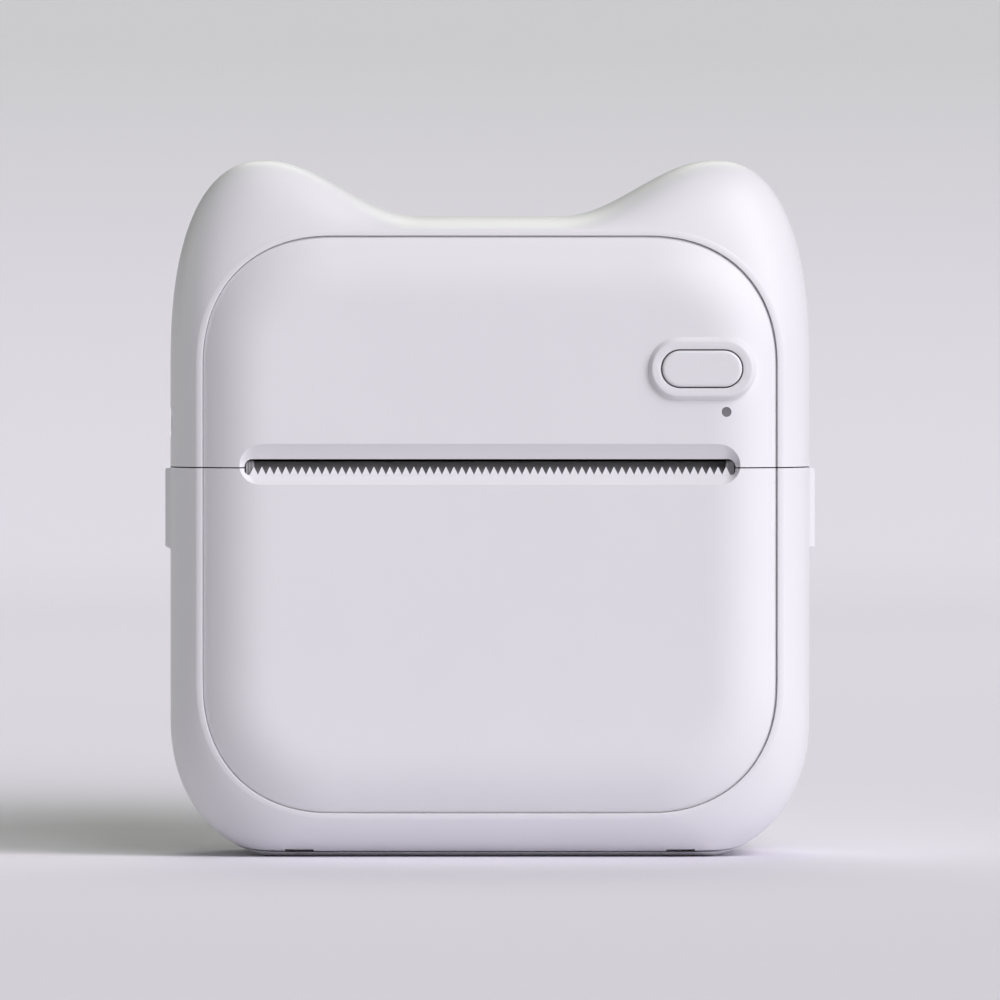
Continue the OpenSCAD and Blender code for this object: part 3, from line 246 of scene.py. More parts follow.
def soften(obj, angle=32):
    """Smooth shading, with edges sharper than the angle kept."""
    pick(obj)
    bpy.ops.object.shade_smooth_by_angle(angle=math.radians(angle))
    return obj


# ---------- the outlines ----------

def mix(a, b, k):
    return a + (b - a) * k


def mix_ring(a, b, k):
    return [(mix(p[0], q[0], k), mix(p[1], q[1], k)) for p, q in zip(a, b)]


def clamp(v):
    return max(0.0, min(1.0, v))


def ease(v):
    """A smooth step from 0 to 1."""
    v = clamp(v)
    return v * v * (3 - 2 * v)


def sin_cos(a):
    return math.sin(math.radians(a)), math.cos(math.radians(a))


# Heights of the points down the straight side, close together at the grip's two edges
SIDE_STOPS = ([59 - 1.5 * i for i in range(7)]
              + [48.4, 48.1, 47.9, 47.72, 47.6, 47.45, 47.3, 47.15, 46.6]
              + [45.4 - 1.2 * i for i in range(6)]
              + [38.6, 38.3, 38.15, 38.05, 37.95, 37.85, 37.75, 37.6]
              + [37.2 - 0.5 * i for i in range(9)] + [31, 28, 25, 22, 19.5])
TOP_STEPS, SHOULDER_STEPS, FOOT_STEPS = 56, 36, 30


def half_outline():
    """The right half of the silhouette, from the top middle round to the bottom middle."""
    pts = []
    for i in range(TOP_STEPS + 1):
        x = EAR_X * i / TOP_STEPS
        rise = clamp((x - EAR_FOOT) / (EAR_X - EAR_FOOT))
        pts.append((x, BODY_H + EAR_H * (1 - math.cos(math.pi * rise)) / 2))
    top = BODY_H + EAR_H
    for i in range(1, SHOULDER_STEPS + 1):
        s, c = sin_cos(90 * (1 - i / SHOULDER_STEPS))
        pts.append((mix(EAR_X, HALF_W, c ** (2 / SHOULDER_N) if c > 0 else 0),
                    mix(top - SHOULDER_DROP, top, s ** (2 / SHOULDER_N))))
    for z in SIDE_STOPS:
        pts.append((HALF_W, z))
    for i in range(FOOT_STEPS + 1):
        s, c = sin_cos(90 * i / FOOT_STEPS)
        pts.append((mix(FOOT_X, HALF_W, max(c, 0) ** (2 / FOOT_N)),
                    max(0, FOOT_Z - (FOOT_Z + FOOT_FLAT) * s ** (2 / FOOT_N))))
    return pts + [(FOOT_X * k, 0) for k in (0.75, 0.5, 0.25)]


def full_ring(half):
    """The half outline closed through the bottom middle by its mirror image."""
    return half + [(0, 0)] + [(-x, z) for x, z in reversed(half[1:])]


def inset(ring, d):
    """A ring moved inwards, square to itself, by a distance."""
    out = []
    for i, p in enumerate(ring):
        a, b = ring[i - 1], ring[(i + 1) % len(ring)]
        dx, dz = b[0] - a[0], b[1] - a[1]
        n = math.hypot(dx, dz)
        out.append((p[0] + d * dz / n, p[1] - d * dx / n))
    return out


def on_squircle(p, mid, half_w, half_h, r):
    """The point of a rounded square that lies in line with p from the middle."""
    dx, dz = abs(p[0]), abs(p[1] - mid)
    lo, hi = 0.0, 2.0
    for _ in range(26):
        m = (lo + hi) / 2
        over_x = max(0, (dx * m - half_w + r) / r)
        over_z = max(0, (dz * m - half_h + r) / r)
        if over_x ** SQUIRCLE_N + over_z ** SQUIRCLE_N > 1:
            hi = m
        else:
            lo = m
    k = (lo + hi) / 2
    return (p[0] * k, mid + (p[1] - mid) * k)


def squircle_for(ring, grow):
    """The panels' rounded square, grown, with as many points as the ring."""
    return [on_squircle(p, PANEL_MID, SEAM_HALF + grow, PANEL_H / 2 + grow, PANEL_R + grow)
            for p in ring]


OUTLINE = full_ring(half_outline())
OUTLINE_IN = inset(OUTLINE, WALL)
RIDGE, RIDGE_IN = squircle_for(OUTLINE, CHAMFER), squircle_for(OUTLINE, CHAMFER - RIDGE_THIN)
BACK_RING = [on_squircle(p, BACK_MID, BACK_HALF_W, BACK_HALF_H, BACK_R) for p in OUTLINE]
BACK_FLAT = [on_squircle(p, BACK_MID, BACK_HALF_W - BACK_EDGE, BACK_HALF_H - BACK_EDGE,
                         BACK_R - BACK_EDGE) for p in OUTLINE]
BACK_RING_IN = inset(BACK_RING, WALL * BACK_THIN)


def front_k(y, deep):
    """How far out the wall stands. The front turns in short of square to its edge."""
    end = math.sqrt(1 - BORDER_TURN ** 2)
    return (math.sqrt(1 - (BORDER_TURN * clamp((SIDE_Y - y) / deep)) ** 2) - end) / (1 - end)


def back_k(y, deep):
    """How far out the wall stands towards the back, along a quarter ellipse."""
    return math.sqrt(max(0, 1 - (max(0, y - TAIL_Y) / deep) ** 2))


def outer_at(y):
    if y < SIDE_Y:
        return mix_ring(RIDGE, OUTLINE, front_k(y, BORDER_DEEP))
    return mix_ring(BACK_RING, OUTLINE, back_k(y, BACK_ROUND))


def inner_at(y):
    if y < SIDE_Y:
        return mix_ring(RIDGE_IN, OUTLINE_IN, front_k(y, BORDER_DEEP - WALL))
    return mix_ring(BACK_RING_IN, OUTLINE_IN, back_k(y, BACK_ROUND - WALL))


def quarter(y0, deep, steps, side):
    """Depths along a quarter round, close together where it turns in."""
    return [y0 + side * deep * math.sin(math.pi / 2 * i / steps) for i in range(steps + 1)]


# ---------- the two halves of the front border ----------

def grip_push(y, z):
    """How far the side stands out at the grip pad, or dips at the finger hollow under it."""
    across = ease((y - GRIP_Y0) / GRIP_EASE0) * ease((GRIP_Y1 - y) / GRIP_EASE1)
    up = ease((z - GRIP_LOW) / GRIP_RISE)
    if z > GRIP_TOP:
        up *= math.sqrt(max(0, 1 - ((z - GRIP_TOP) / GRIP_FALL) ** 2))
    if z > SEAM_Z:
        up = 0
    dip = 0
    if abs(z - HOLLOW_Z) < HOLLOW_R:
        dip = max(0, math.sqrt(HOLLOW_R ** 2 - (z - HOLLOW_Z) ** 2) - HOLLOW_OUT)
    dip *= ease((y - HOLLOW_Y0) / HOLLOW_EASE) * ease((HOLLOW_Y1 - y) / HOLLOW_EASE)
    return GRIP_PROUD * across * up - dip


def pushed(ring, y):
    """An (x, z) ring stood at a depth, with the grips pushed out of its sides."""
    out = []
    for x, z in ring:
        push = grip_push(y, z) if abs(x) > GRIP_SIDE_X else 0
        out.append((x + push * math.copysign(1, x), y, z))
    return out


def border_loop(name, grips):
    """The whole front border: out along the side, round to the seam and back along the inside."""
    shape = pushed if grips else at
    sides = [BORDER_END, PART_Y, 0.1, -0.1, -0.3, -0.6, -0.9, -1.3, -1.8, -2.4, -3.2, -4.1, -5.2,
             -6.3, -7.4]
    outer = sides + quarter(SIDE_Y, BORDER_DEEP, 22, -1)
    inner = [y for y in quarter(SIDE_Y, BORDER_DEEP - WALL, 12, -1) if y > -13.8][::-1]
    lip = [(CHAMFER - 0.08, RIDGE_Y - 0.05), (CHAMFER - 0.2, RIDGE_Y - 0.1),
           (SEAM_GAP + 0.18, RIDGE_Y - 0.26), (SEAM_GAP + 0.07, RIDGE_Y - 0.25),
           (SEAM_GAP + 0.02, RIDGE_Y - 0.15), (SEAM_GAP, RIDGE_Y + 0.1), (SEAM_GAP, RIM_Y),
           (RIM_W + 0.1, RIM_Y), (RIM_W + 0.1, RIM_Y + RIM_T + 0.1)]
    rings = [shape(outer_at(y), y) for y in outer]
    rings += [at(squircle_for(OUTLINE, grow), y) for grow, y in lip]
    rings += [at(inner_at(y), y) for y in inner] + [at(OUTLINE_IN, BORDER_END)]
    return loft(name, rings, loop=True)


def hinge_arc(r, a0, a1):
    return arc((HINGE_Y, HINGE_Z), r, a0, a1, 24)


def lid_outline(gap):
    """The lid seen from the side: flat top, arc about the hinge, and the round toe."""
    half = gap / 2
    back = PART_Y - half
    r = LID_TOP_R - half
    top = SEAM_Z - half
    a0 = math.degrees(math.atan2(top - HINGE_Z, math.sqrt(r * r - (top - HINGE_Z) ** 2)))
    a1 = math.degrees(math.acos((back - HINGE_Y) / r))
    low = HINGE_Z + gap
    toe0 = math.degrees(math.asin(gap / TOE_R))
    return ([(-FAR, BELOW), (-FAR, top)] + hinge_arc(r, a0, a1) + [(back, low)]
            + hinge_arc(TOE_R, toe0, -90) + [(HINGE_Y, BELOW)])


def upper_outline(gap):
    """What lies above the lid, seen from the side."""
    half = gap / 2
    back = PART_Y - half
    r = LID_TOP_R + half
    top = SEAM_Z + half
    a0 = math.degrees(math.atan2(top - HINGE_Z, LID_FLAT_Y - HINGE_Y))
    a1 = math.degrees(math.acos((back - HINGE_Y) / r))
    return [(-FAR, ABOVE), (-FAR, top)] + hinge_arc(r, a0, a1) + [(back, ABOVE)]


def rear_outline():
    """What lies behind the border and the lid's toe, seen from the side."""
    return ([(PART_Y, ABOVE), (PART_Y, HINGE_Z)] + hinge_arc(TOE_R + SIDE_GAP, 0, -90)
            + [(HINGE_Y, BELOW), (FAR, BELOW), (FAR, ABOVE)])


def front_border():
    """The border's upper part with the socket's port, and the lid's with slots for its arms."""
    top = border_loop("upper_border", False)
    keep_within(top, upper_outline(SEAM_GAP))
    around = oval((0, 0), USB_W + PORT_GROW_W, USB_H + PORT_GROW_H)
    port = loft("port", [[(x, USB_Y + a, USB_Z + b) for a, b in around]
                         for x in (PORT_X0, PORT_X1)])
    with_tool(top, port)
    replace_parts(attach(soften(top), "body"), "front_frame")
    low = border_loop("lower_border", True)
    keep_within(low, lid_outline(SEAM_GAP))
    slot = [(HINGE_Y - ARM_FRONT, BELOW), (HINGE_Y - ARM_FRONT, HINGE_Z + 1), (PART_Y, HINGE_Z + 1),
            (PART_Y, BELOW)]
    for side in (-1, 1):
        x0, x1 = sorted((side * ARM_X0, side * ARM_X1))
        with_tool(low, prism_x("arm_slot", slot, x0, x1))
    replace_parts(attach(soften(low), "lid"), "lid_frame")
    return [top, low]


# ---------- the two front panels ----------

def rounded(v, sign):
    """A sine or cosine bent to the superellipse, with a sign of its own at zero."""
    return math.copysign(abs(v) ** (2 / SQUIRCLE_N), v if abs(v) > 1e-9 else sign)


def between(a, b, runs):
    """The points that divide a straight side into equal runs."""
    return [(mix(a[0], b[0], k / runs), mix(a[1], b[1], k / runs)) for k in range(1, runs)]


def squircle_ring(half_w, half_h, r, steps=22, runs=6):
    """The panel's rounded square, with points along its straight sides too."""
    ring = []
    for q in range(4):
        sx = 1 if q in (0, 3) else -1
        sz = 1 if q < 2 else -1
        corner = []
        for i in range(steps + 1):
            s, c = sin_cos(q * 90 + 90 * i / steps)
            corner.append((sx * (half_w - r) + r * rounded(c, sx),
                           PANEL_MID + sz * (half_h - r) + r * rounded(s, sz)))
        if ring:
            ring += between(ring[-1], corner[0], runs)
        ring += corner
    return ring + between(ring[-1], ring[0], runs)


def panel_ring(d, y):
    """The panels' outline, moved in by d, at a depth."""
    return at(squircle_ring(SEAM_HALF - d, PANEL_H / 2 - d, PANEL_R - d), y)


def pillow_at(d):
    """Depth of the pillow's face at a distance in from its edge."""
    return EDGE_Y - PILLOW_H * (1 - (1 - clamp(d / PILLOW_W)) ** PILLOW_N)


def full_panel(name):
    """The pillow with its wall and rim, lofted from the middle of its back to that of its face."""
    inside = [panel_ring(PILLOW_W, INNER_FRONT_Y)]
    inside += [panel_ring(d, pillow_at(d) + WALL) for d in (6.8, 5.4, 4.2, 3.2, 2.4, 1.6)]
    inside += [panel_ring(1.6, RIM_Y + RIM_T)]
    rim = [panel_ring(-RIM_W, RIM_Y + RIM_T), panel_ring(-RIM_W, RIM_Y), panel_ring(-0.12, RIM_Y),
           panel_ring(-0.12, EDGE_Y + 0.3), panel_ring(0, EDGE_Y + 0.08), panel_ring(0.06, EDGE_Y)]
    crown = [panel_ring(d, pillow_at(d))
             for d in (0.2 + (PILLOW_W - 0.2) * (i / 16) for i in range(17))]
    return loft(name, inside + rim + crown + [panel_ring(PILLOW_W + 0.4, PILLOW_Y)])


def recess_tool():
    """The sunk rim of the slot, narrowing to a thin flat land round the mouth."""
    rim = oval((0, (RIM_TOP + RIM_LOW) / 2), 2 * RIM_HALF, RIM_TOP - RIM_LOW)
    mouth = oval_rings((0, MOUTH_LOW + MOUTH_H / 2), 2 * MOUTH_HALF, MOUTH_H, [
        (0.4, MOUTH_Y - 0.03), (0.1, MOUTH_Y + 0.01), (0, MOUTH_Y + 0.08), (0, MOUTH_Y + 4)])
    return loft("recess", [at(rim, BEFORE), at(rim, PILLOW_Y)] + mouth)


def collar():
    """The raised collar round the button, with a sloped flank and a soft top edge."""
    foot = 2 * BOSS_FLANK
    return loft("collar", oval_rings(
        (BUTTON_X, BUTTON_Z), BUTTON_W + BOSS_GROW_W, BUTTON_H + BOSS_GROW_H, [
            (foot, INNER_FRONT_Y + 0.3), (foot, PILLOW_Y + 0.2), (foot - 0.05, PILLOW_Y),
            (foot - 0.2, PILLOW_Y - 0.1), (0.42, BOSS_Y + 0.12), (0.26, BOSS_Y + 0.04),
            (0.05, BOSS_Y), (-0.3, BOSS_Y)]))


def upper_panel():
    """The upper pillow with the collar, the holes for button and light, and half the slot."""
    panel = full_panel("front_upper")
    keep_within(panel, [(-FAR, SEAM_HIGH), (-FAR, ABOVE), (FAR, ABOVE), (FAR, SEAM_HIGH)])
    with_tool(panel, collar(), "UNION")
    hole = loft("hole", oval_rings(
        (BUTTON_X, BUTTON_Z), BUTTON_W + BUTTON_GAP, BUTTON_H + BUTTON_GAP, [
            (0.5, BEFORE), (0.5, BOSS_Y - 0.01), (0.1, BOSS_Y + 0.06), (0, BOSS_Y + 0.16),
            (0, INNER_FRONT_Y), (2.3, INNER_FRONT_Y), (2.3, -10)]))
    with_tool(panel, hole)
    r = LIGHT_D / 2
    with_tool(panel, loft("light_hole", round_rings((LIGHT_X, LIGHT_Z), [
        (r + 0.16, BEFORE), (r + 0.16, PILLOW_Y), (r + 0.05, PILLOW_Y + 0.12),
        (r + 0.05, -14)], 32)))
    with_tool(panel, recess_tool())
    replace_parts(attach(soften(panel, 28), "body"), "upper_panel")
    return panel


def lower_panel():
    """The lower pillow with its half of the slot and a pocket for the tear bar."""
    panel = full_panel("front_lower")
    keep_within(panel, [(-FAR, BELOW), (-FAR, SEAM_LOW), (FAR, SEAM_LOW), (FAR, BELOW)])
    with_tool(panel, recess_tool())
    front = MOUTH_Y - 0.02
    pocket = [(front, POCKET_LOW), (front, FAR), (POCKET_BACK_Y, FAR), (POCKET_BACK_Y, POCKET_LOW)]
    with_tool(panel, prism_x("pocket", pocket, -MOUTH_HALF, MOUTH_HALF))
    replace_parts(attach(soften(panel, 28), "lid"), "lid_panel")
    return panel


def exit_guide():
    """The dark ramp on the lid that lifts the paper over the teeth."""
    foot, crest = GUIDE_FOOT_Z, GUIDE_CREST_Z
    ramp = [(GUIDE_Y0, foot), (GUIDE_Y0, foot + 1.1), (GUIDE_Y0 + 0.2, foot + 1.45),
            (GUIDE_Y1 - 0.5, crest - 0.14), (GUIDE_Y1 - 0.3, crest - 0.03),
            (GUIDE_Y1 - 0.12, crest), (GUIDE_Y1, crest - 0.1), (GUIDE_Y1, foot)]
    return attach(soften(prism_x("exit_guide", ramp, -GUIDE_HALF, GUIDE_HALF)), "lid")


def guide_end(name, side):
    """The grey end stop of the ramp, with two fine grooves down its front."""
    foot, crest = GUIDE_FOOT_Z, GUIDE_CREST_Z + END_RISE
    x0, x1 = sorted((side * GUIDE_HALF, side * (GUIDE_HALF + END_W)))
    outline = [(GUIDE_Y0, foot), (GUIDE_Y0, crest - 0.6), (GUIDE_Y0 + 0.1, crest - 0.25),
               (GUIDE_Y0 + 0.3, crest - 0.06), (GUIDE_Y0 + 0.6, crest), (GUIDE_Y1, crest),
               (GUIDE_Y1, foot)]
    block = prism_x(name, outline, x0, x1)
    cut = [(GUIDE_Y0 - 1, foot + 0.5), (GUIDE_Y0 - 1, crest + 1),
           (GUIDE_Y0 + GROOVE_DEEP, crest + 1), (GUIDE_Y0 + GROOVE_DEEP, foot + 0.5)]
    for k in (0.35, 0.7):
        x = side * (GUIDE_HALF + END_W * k)
        with_tool(block, prism_x("groove", cut, x - GROOVE_HALF, x + GROOVE_HALF))
    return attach(soften(block), "lid")


# ---------- the button and the rear case ----------

def button_cap():
    """The oval cap with a rounded edge, a rim behind the panel and a stem."""
    c = (BUTTON_X, BUTTON_Z)
    cap = loft("button_cap", oval_rings(c, BUTTON_W, BUTTON_H, [
        (BUTTON_RIM, INNER_FRONT_Y + 1), (BUTTON_RIM, INNER_FRONT_Y + 0.15),
        (0, INNER_FRONT_Y + 0.15), (0, FACE_Y + 0.34), (-0.03, FACE_Y + 0.24),
        (-0.11, FACE_Y + 0.14), (-0.26, FACE_Y + 0.06), (-0.5, FACE_Y + 0.015), (-0.8, FACE_Y),
        (-1.3, FACE_Y)], 32))
    with_tool(cap, prism_y("stem", circle(c, STEM_R, 32), INNER_FRONT_Y + 0.9, STEM_Y), "UNION")
    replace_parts(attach(soften(cap), "button"), "power_button")
    return cap


def rear_case():
    """The rounded tub with its screw posts, sunk screw holes and battery fence."""
    outer = [CASE_FRONT_Y, -11.4, -10.2, -9.3, SIDE_Y, -5, -1, PART_Y, 2.5, 5, 7.5]
    outer += quarter(TAIL_Y, BACK_ROUND, 22, 1)
    inner = [CASE_FRONT_Y, -10.4, SIDE_Y] + quarter(TAIL_Y, BACK_ROUND - WALL, 12, 1)
    shell = loft("case_back", [at(outer_at(y), y) for y in outer] + [at(BACK_FLAT, BACK_Y)])
    core = loft("core", [at(inner_at(CASE_FRONT_Y), CASE_FRONT_Y - 1)]
                + [at(inner_at(y), y) for y in inner])
    with_tool(shell, core)
    keep_within(shell, rear_outline())
    for side in (-1, 1):
        for x, z, r, y in REAR_POSTS:
            post = prism_y("post", circle((side * x, z), r, 48), y, INNER_BACK_Y + WELD)
            with_tool(shell, post, "UNION")
        for x, z in SCREWS:
            with_tool(shell, loft("screw_hole", round_rings((side * x, z), [
                (BORE_R, -1), (BORE_R, BACK_Y - HEAD_DEEP), (HEAD_R, BACK_Y - HEAD_DEEP),
                (HEAD_R, BACK_Y - 0.12), (HEAD_MOUTH_R, BACK_Y + 0.03),
                (HEAD_MOUTH_R, BACK_Y + 1)], 48)))
    back = INNER_BACK_Y + WELD
    for x0, x1, z0, z1 in FENCE:
        rib = prism_x("rib", [(FENCE_Y, z0), (FENCE_Y, z1), (back, z1), (back, z0)], x0, x1)
        with_tool(shell, rib, "UNION")
    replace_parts(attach(soften(shell), "body"), "rear_case")
    return shell


# ---------- materials ----------

# Sizes of the noises, in waves to the metre, and the depth of a full bump in metres
GRAIN_SIZE, SLOW_SIZE, STRETCH, BUMP_DEEP = 4500.0, 60.0, (40.0, 1800.0, 1800.0), 0.00004


def group(name, inputs, outputs):
    """A node group with named sockets; returns the tree, its input node and its output node."""
    tree = bpy.data.node_groups.new(name, "ShaderNodeTree")
    for label, kind, value in inputs:
        socket = tree.interface.new_socket(name=label, in_out="INPUT", socket_type=kind)
        socket.default_value = value
    for label, kind in outputs:
        tree.interface.new_socket(name=label, in_out="OUTPUT", socket_type=kind)
    return tree, tree.nodes.new("NodeGroupInput"), tree.nodes.new("NodeGroupOutput")


def node(tree, kind, values=None, **settings):
    """A node with its settings made and its input sockets filled."""
    made = tree.nodes.new(kind)
    for key, value in settings.items():
        setattr(made, key, value)
    for key, value in (values or {}).items():
        made.inputs[key].default_value = value
    return made


def moulded_surface():
    """Fine mould texture and a faint, slow unevenness of tone."""
    tree, given, out = group("moulded_surface", [
        ("Grain Size", "NodeSocketFloat", GRAIN_SIZE), ("Slow Size", "NodeSocketFloat", SLOW_SIZE)],
        [("Height", "NodeSocketFloat"), ("Tone", "NodeSocketFloat"), ("Gloss", "NodeSocketFloat")])
    spot = node(tree, "ShaderNodeTexCoord")
    grain = node(tree, "ShaderNodeTexNoise", {"Detail": 2.0, "Roughness": 0.6})
    slow = node(tree, "ShaderNodeTexNoise", {"Detail": 3.0, "Roughness": 0.55})
    tone = node(tree, "ShaderNodeMapRange", {"From Min": 0.3, "From Max": 0.7})
    gloss = node(tree, "ShaderNodeMapRange", {"From Min": 0.35, "From Max": 0.65})
    link = tree.links.new
    link(spot.outputs["Object"], grain.inputs["Vector"])
    link(spot.outputs["Object"], slow.inputs["Vector"])
    link(given.outputs["Grain Size"], grain.inputs["Scale"])
    link(given.outputs["Slow Size"], slow.inputs["Scale"])
    link(grain.outputs["Fac"], out.inputs["Height"])
    link(slow.outputs["Fac"], tone.inputs["Value"])
    link(tone.outputs["Result"], out.inputs["Tone"])
    link(grain.outputs["Fac"], gloss.inputs["Value"])
    link(gloss.outputs["Result"], out.inputs["Gloss"])
    return tree


def drawn_metal():
    """Long fine scratches along one axis, with broad dull patches."""
    tree, given, out = group("drawn_metal", [("Stretch", "NodeSocketVector", STRETCH)],
                             [("Height", "NodeSocketFloat"), ("Tone", "NodeSocketFloat")])
    spot = node(tree, "ShaderNodeTexCoord")
    move = node(tree, "ShaderNodeVectorMath", operation="MULTIPLY")
    scratch = node(tree, "ShaderNodeTexNoise", {"Scale": 1.0, "Detail": 3.0})
    patch = node(tree, "ShaderNodeTexNoise", {"Scale": 140.0, "Detail": 2.0})
    link = tree.links.new
    link(spot.outputs["Object"], move.inputs[0])
    link(given.outputs["Stretch"], move.inputs[1])
    link(move.outputs["Vector"], scratch.inputs["Vector"])
    link(spot.outputs["Object"], patch.inputs["Vector"])
    link(scratch.outputs["Fac"], out.inputs["Height"])
    link(patch.outputs["Fac"], out.inputs["Tone"])
    return tree


MOULDED = moulded_surface()
DRAWN = drawn_metal()


def finish(name, dark, light, rough, surface=MOULDED, bump=0.02, grain=GRAIN_SIZE, slow=SLOW_SIZE,
           metallic=0.0):
    """A material: tone runs from dark to light, and roughness over its range."""
    mat = bpy.data.materials.new(name)
    mat.use_nodes = True
    tree = mat.node_tree
    shader = tree.nodes["Principled BSDF"]
    shader.inputs["Metallic"].default_value = metallic
    look = node(tree, "ShaderNodeGroup")
    look.node_tree = surface
    if surface is MOULDED:
        look.inputs["Grain Size"].default_value = grain
        look.inputs["Slow Size"].default_value = slow
    else:
        look.inputs["Stretch"].default_value = STRETCH
    colour = node(tree, "ShaderNodeMix", data_type="RGBA")
    colour.inputs["A"].default_value = (*dark, 1)
    colour.inputs["B"].default_value = (*light, 1)
    dull = node(tree, "ShaderNodeMapRange", {"To Min": rough[0], "To Max": rough[1]})
    lift = node(tree, "ShaderNodeBump", {"Strength": bump, "Distance": BUMP_DEEP})
    link = tree.links.new
    link(look.outputs["Tone"], colour.inputs["Factor"])
    link(colour.outputs["Result"], shader.inputs["Base Color"])
    link(look.outputs["Gloss" if surface is MOULDED else "Tone"], dull.inputs["Value"])
    link(dull.outputs["Result"], shader.inputs["Roughness"])
    link(look.outputs["Height"], lift.inputs["Height"])
    link(lift.outputs["Normal"], shader.inputs["Normal"])
    return mat


# By slot, and the two finishes of the ramp, which share the slot of the dark mouldings
FINISHES = {
    "shell": finish("satin_white_shell", (0.80, 0.797, 0.812), (0.815, 0.812, 0.828), (0.42, 0.5),
                    bump=0.06, grain=3800.0, slow=45.0),
    # The teeth are whiter than the shell: partly their own gloss white, partly painted light that
    # lifts them out of the shade in the slot.
    "tear_bar": finish("gloss_white_teeth_and_painted_light", (0.90, 0.90, 0.91), (0.93, 0.93, 0.94), (0.22, 0.3)),
    "inner_moulding": finish("inner_white_moulding", (0.70, 0.70, 0.71), (0.74, 0.74, 0.75),
                             (0.45, 0.6), bump=0.1),
    "dark_moulding": finish("dark_guide_moulding", (0.03, 0.031, 0.034), (0.045, 0.046, 0.05),
                            (0.4, 0.55), bump=0.1),
    "guide_ramp": finish("dark_guide_ramp", (0.30, 0.30, 0.305), (0.36, 0.36, 0.365), (0.4, 0.5),
                         bump=0.1),
    "guide_stop": finish("grey_guide_stop", (0.42, 0.42, 0.425), (0.48, 0.48, 0.485), (0.4, 0.5),
                         bump=0.1),
    "light_pipe": finish("smoky_light_pipe", (0.20, 0.20, 0.21), (0.25, 0.25, 0.26), (0.15, 0.22),
                         slow=900.0),
    "circuit_board": finish("green_solder_resist", (0.02, 0.11, 0.055), (0.03, 0.15, 0.075),
                            (0.3, 0.42), slow=400.0),
    "chip": finish("black_epoxy", (0.018, 0.018, 0.02), (0.03, 0.03, 0.032), (0.5, 0.65),
                   bump=0.15),
    "steel": finish("plated_steel", (0.50, 0.51, 0.53), (0.62, 0.63, 0.65), (0.25, 0.38),
                    DRAWN, 0.05, metallic=1.0),
    "sheet_steel": finish("zinc_sheet", (0.42, 0.43, 0.45), (0.55, 0.56, 0.58), (0.35, 0.5),
                          DRAWN, 0.08, metallic=1.0),
    "led": finish("milky_led", (0.72, 0.78, 0.70), (0.80, 0.86, 0.78), (0.2, 0.3), slow=900.0),
    "battery_pouch": finish("battery_foil", (0.40, 0.43, 0.46), (0.52, 0.55, 0.58), (0.35, 0.5),
                            DRAWN, 0.1, metallic=0.8),
    "foam": finish("tape_foam", (0.70, 0.64, 0.48), (0.80, 0.74, 0.58), (0.8, 0.9), bump=0.3),
    "socket_plastic": finish("cream_nylon", (0.74, 0.72, 0.64), (0.80, 0.78, 0.70), (0.4, 0.5)),
    "wire": finish("red_wire_sleeve", (0.42, 0.03, 0.03), (0.52, 0.05, 0.04), (0.4, 0.5),
                   slow=500.0),
    "ribbon": finish("amber_film", (0.48, 0.22, 0.05), (0.60, 0.30, 0.08), (0.2, 0.3)),
    "aluminium": finish("extruded_aluminium", (0.60, 0.61, 0.63), (0.70, 0.71, 0.73), (0.3, 0.45),
                        DRAWN, 0.08, metallic=1.0),
    "ceramic": finish("glazed_ceramic", (0.72, 0.70, 0.64), (0.80, 0.78, 0.72), (0.12, 0.2)),
    "brass": finish("turned_brass", (0.62, 0.44, 0.18), (0.74, 0.55, 0.26), (0.2, 0.32),
                    DRAWN, 0.05, metallic=1.0),
    "gear_plastic": finish("acetal_gear", (0.72, 0.70, 0.62), (0.80, 0.78, 0.70), (0.35, 0.45)),
    "roller_rubber": finish("ground_rubber", (0.016, 0.016, 0.017), (0.028, 0.028, 0.03),
                            (0.6, 0.75), bump=0.25),
}
SLOT_OF = {s["node"]: s["material_slot"] for s in frame["record"]["subparts"]}


def wear(obj, look):
    obj.data.materials.clear()
    obj.data.materials.append(FINISHES[look])


def dress(obj, slot, look=None):
    """Gives a new piece its slot's finish, unless another finish is named."""
    wear(obj, look or slot)


# ---------- floor, light and camera ----------

# The card in millimetres: two bends, each with its start, radius and slope, and the card's limits
RISE_Y, RISE_R, RISE_SLOPE = 6.0, 300.0, 4
SWEEP_Y, SWEEP_R, SWEEP_SLOPE = 330.0, 150.0, 60
CARD_TOP, CARD_THICK, CARD_UNDER, CARD_FRONT, CARD_HALF = 130.0, 4, -50, -2900, 2500
# Its colours from low to high, with the height in metres of the highest, and where the middle is
# The card darkens towards its top: painted shade for the light falling off up the sweep.
CARD_LOW, CARD_MID, CARD_HIGH = (0.84, 0.815, 0.885), (0.87, 0.85, 0.90), (0.635, 0.645, 0.63)
CARD_HIGH_Z, CARD_MID_STOP = 0.1, 0.3

SKY_COLOUR, SKY_STRENGTH = (0.98, 0.98, 1.0, 1), 0.03
KEY_COLOUR, FILL_COLOUR = (0.965, 0.935, 1.0), (0.94, 1.0, 0.85)
LAMP_SPREAD = 30
LAMPS = [  # name, degrees round from the front towards the right, degrees up, strength, colour
    ("key_low", 54, 12, 1.08, KEY_COLOUR), ("key_high", 52, 42, 1.36, KEY_COLOUR),
    ("front_right", 25, 40, 0.70, KEY_COLOUR), ("side_left", -110, 12, 0.36, FILL_COLOUR),
    ("back_high", 180, 40, 0.64, FILL_COLOUR), ("top", 0, 85, 0.36, FILL_COLOUR)]


def swept(start, r, a0, a1, steps):
    """An arc that starts at a point, turning up from slope a0 to slope a1."""
    turns = [math.radians(a0 + (a1 - a0) * i / steps) for i in range(steps + 1)]
    return [(start[0] + r * (math.sin(a) - math.sin(turns[0])),
             start[1] + r * (math.cos(turns[0]) - math.cos(a))) for a in turns]


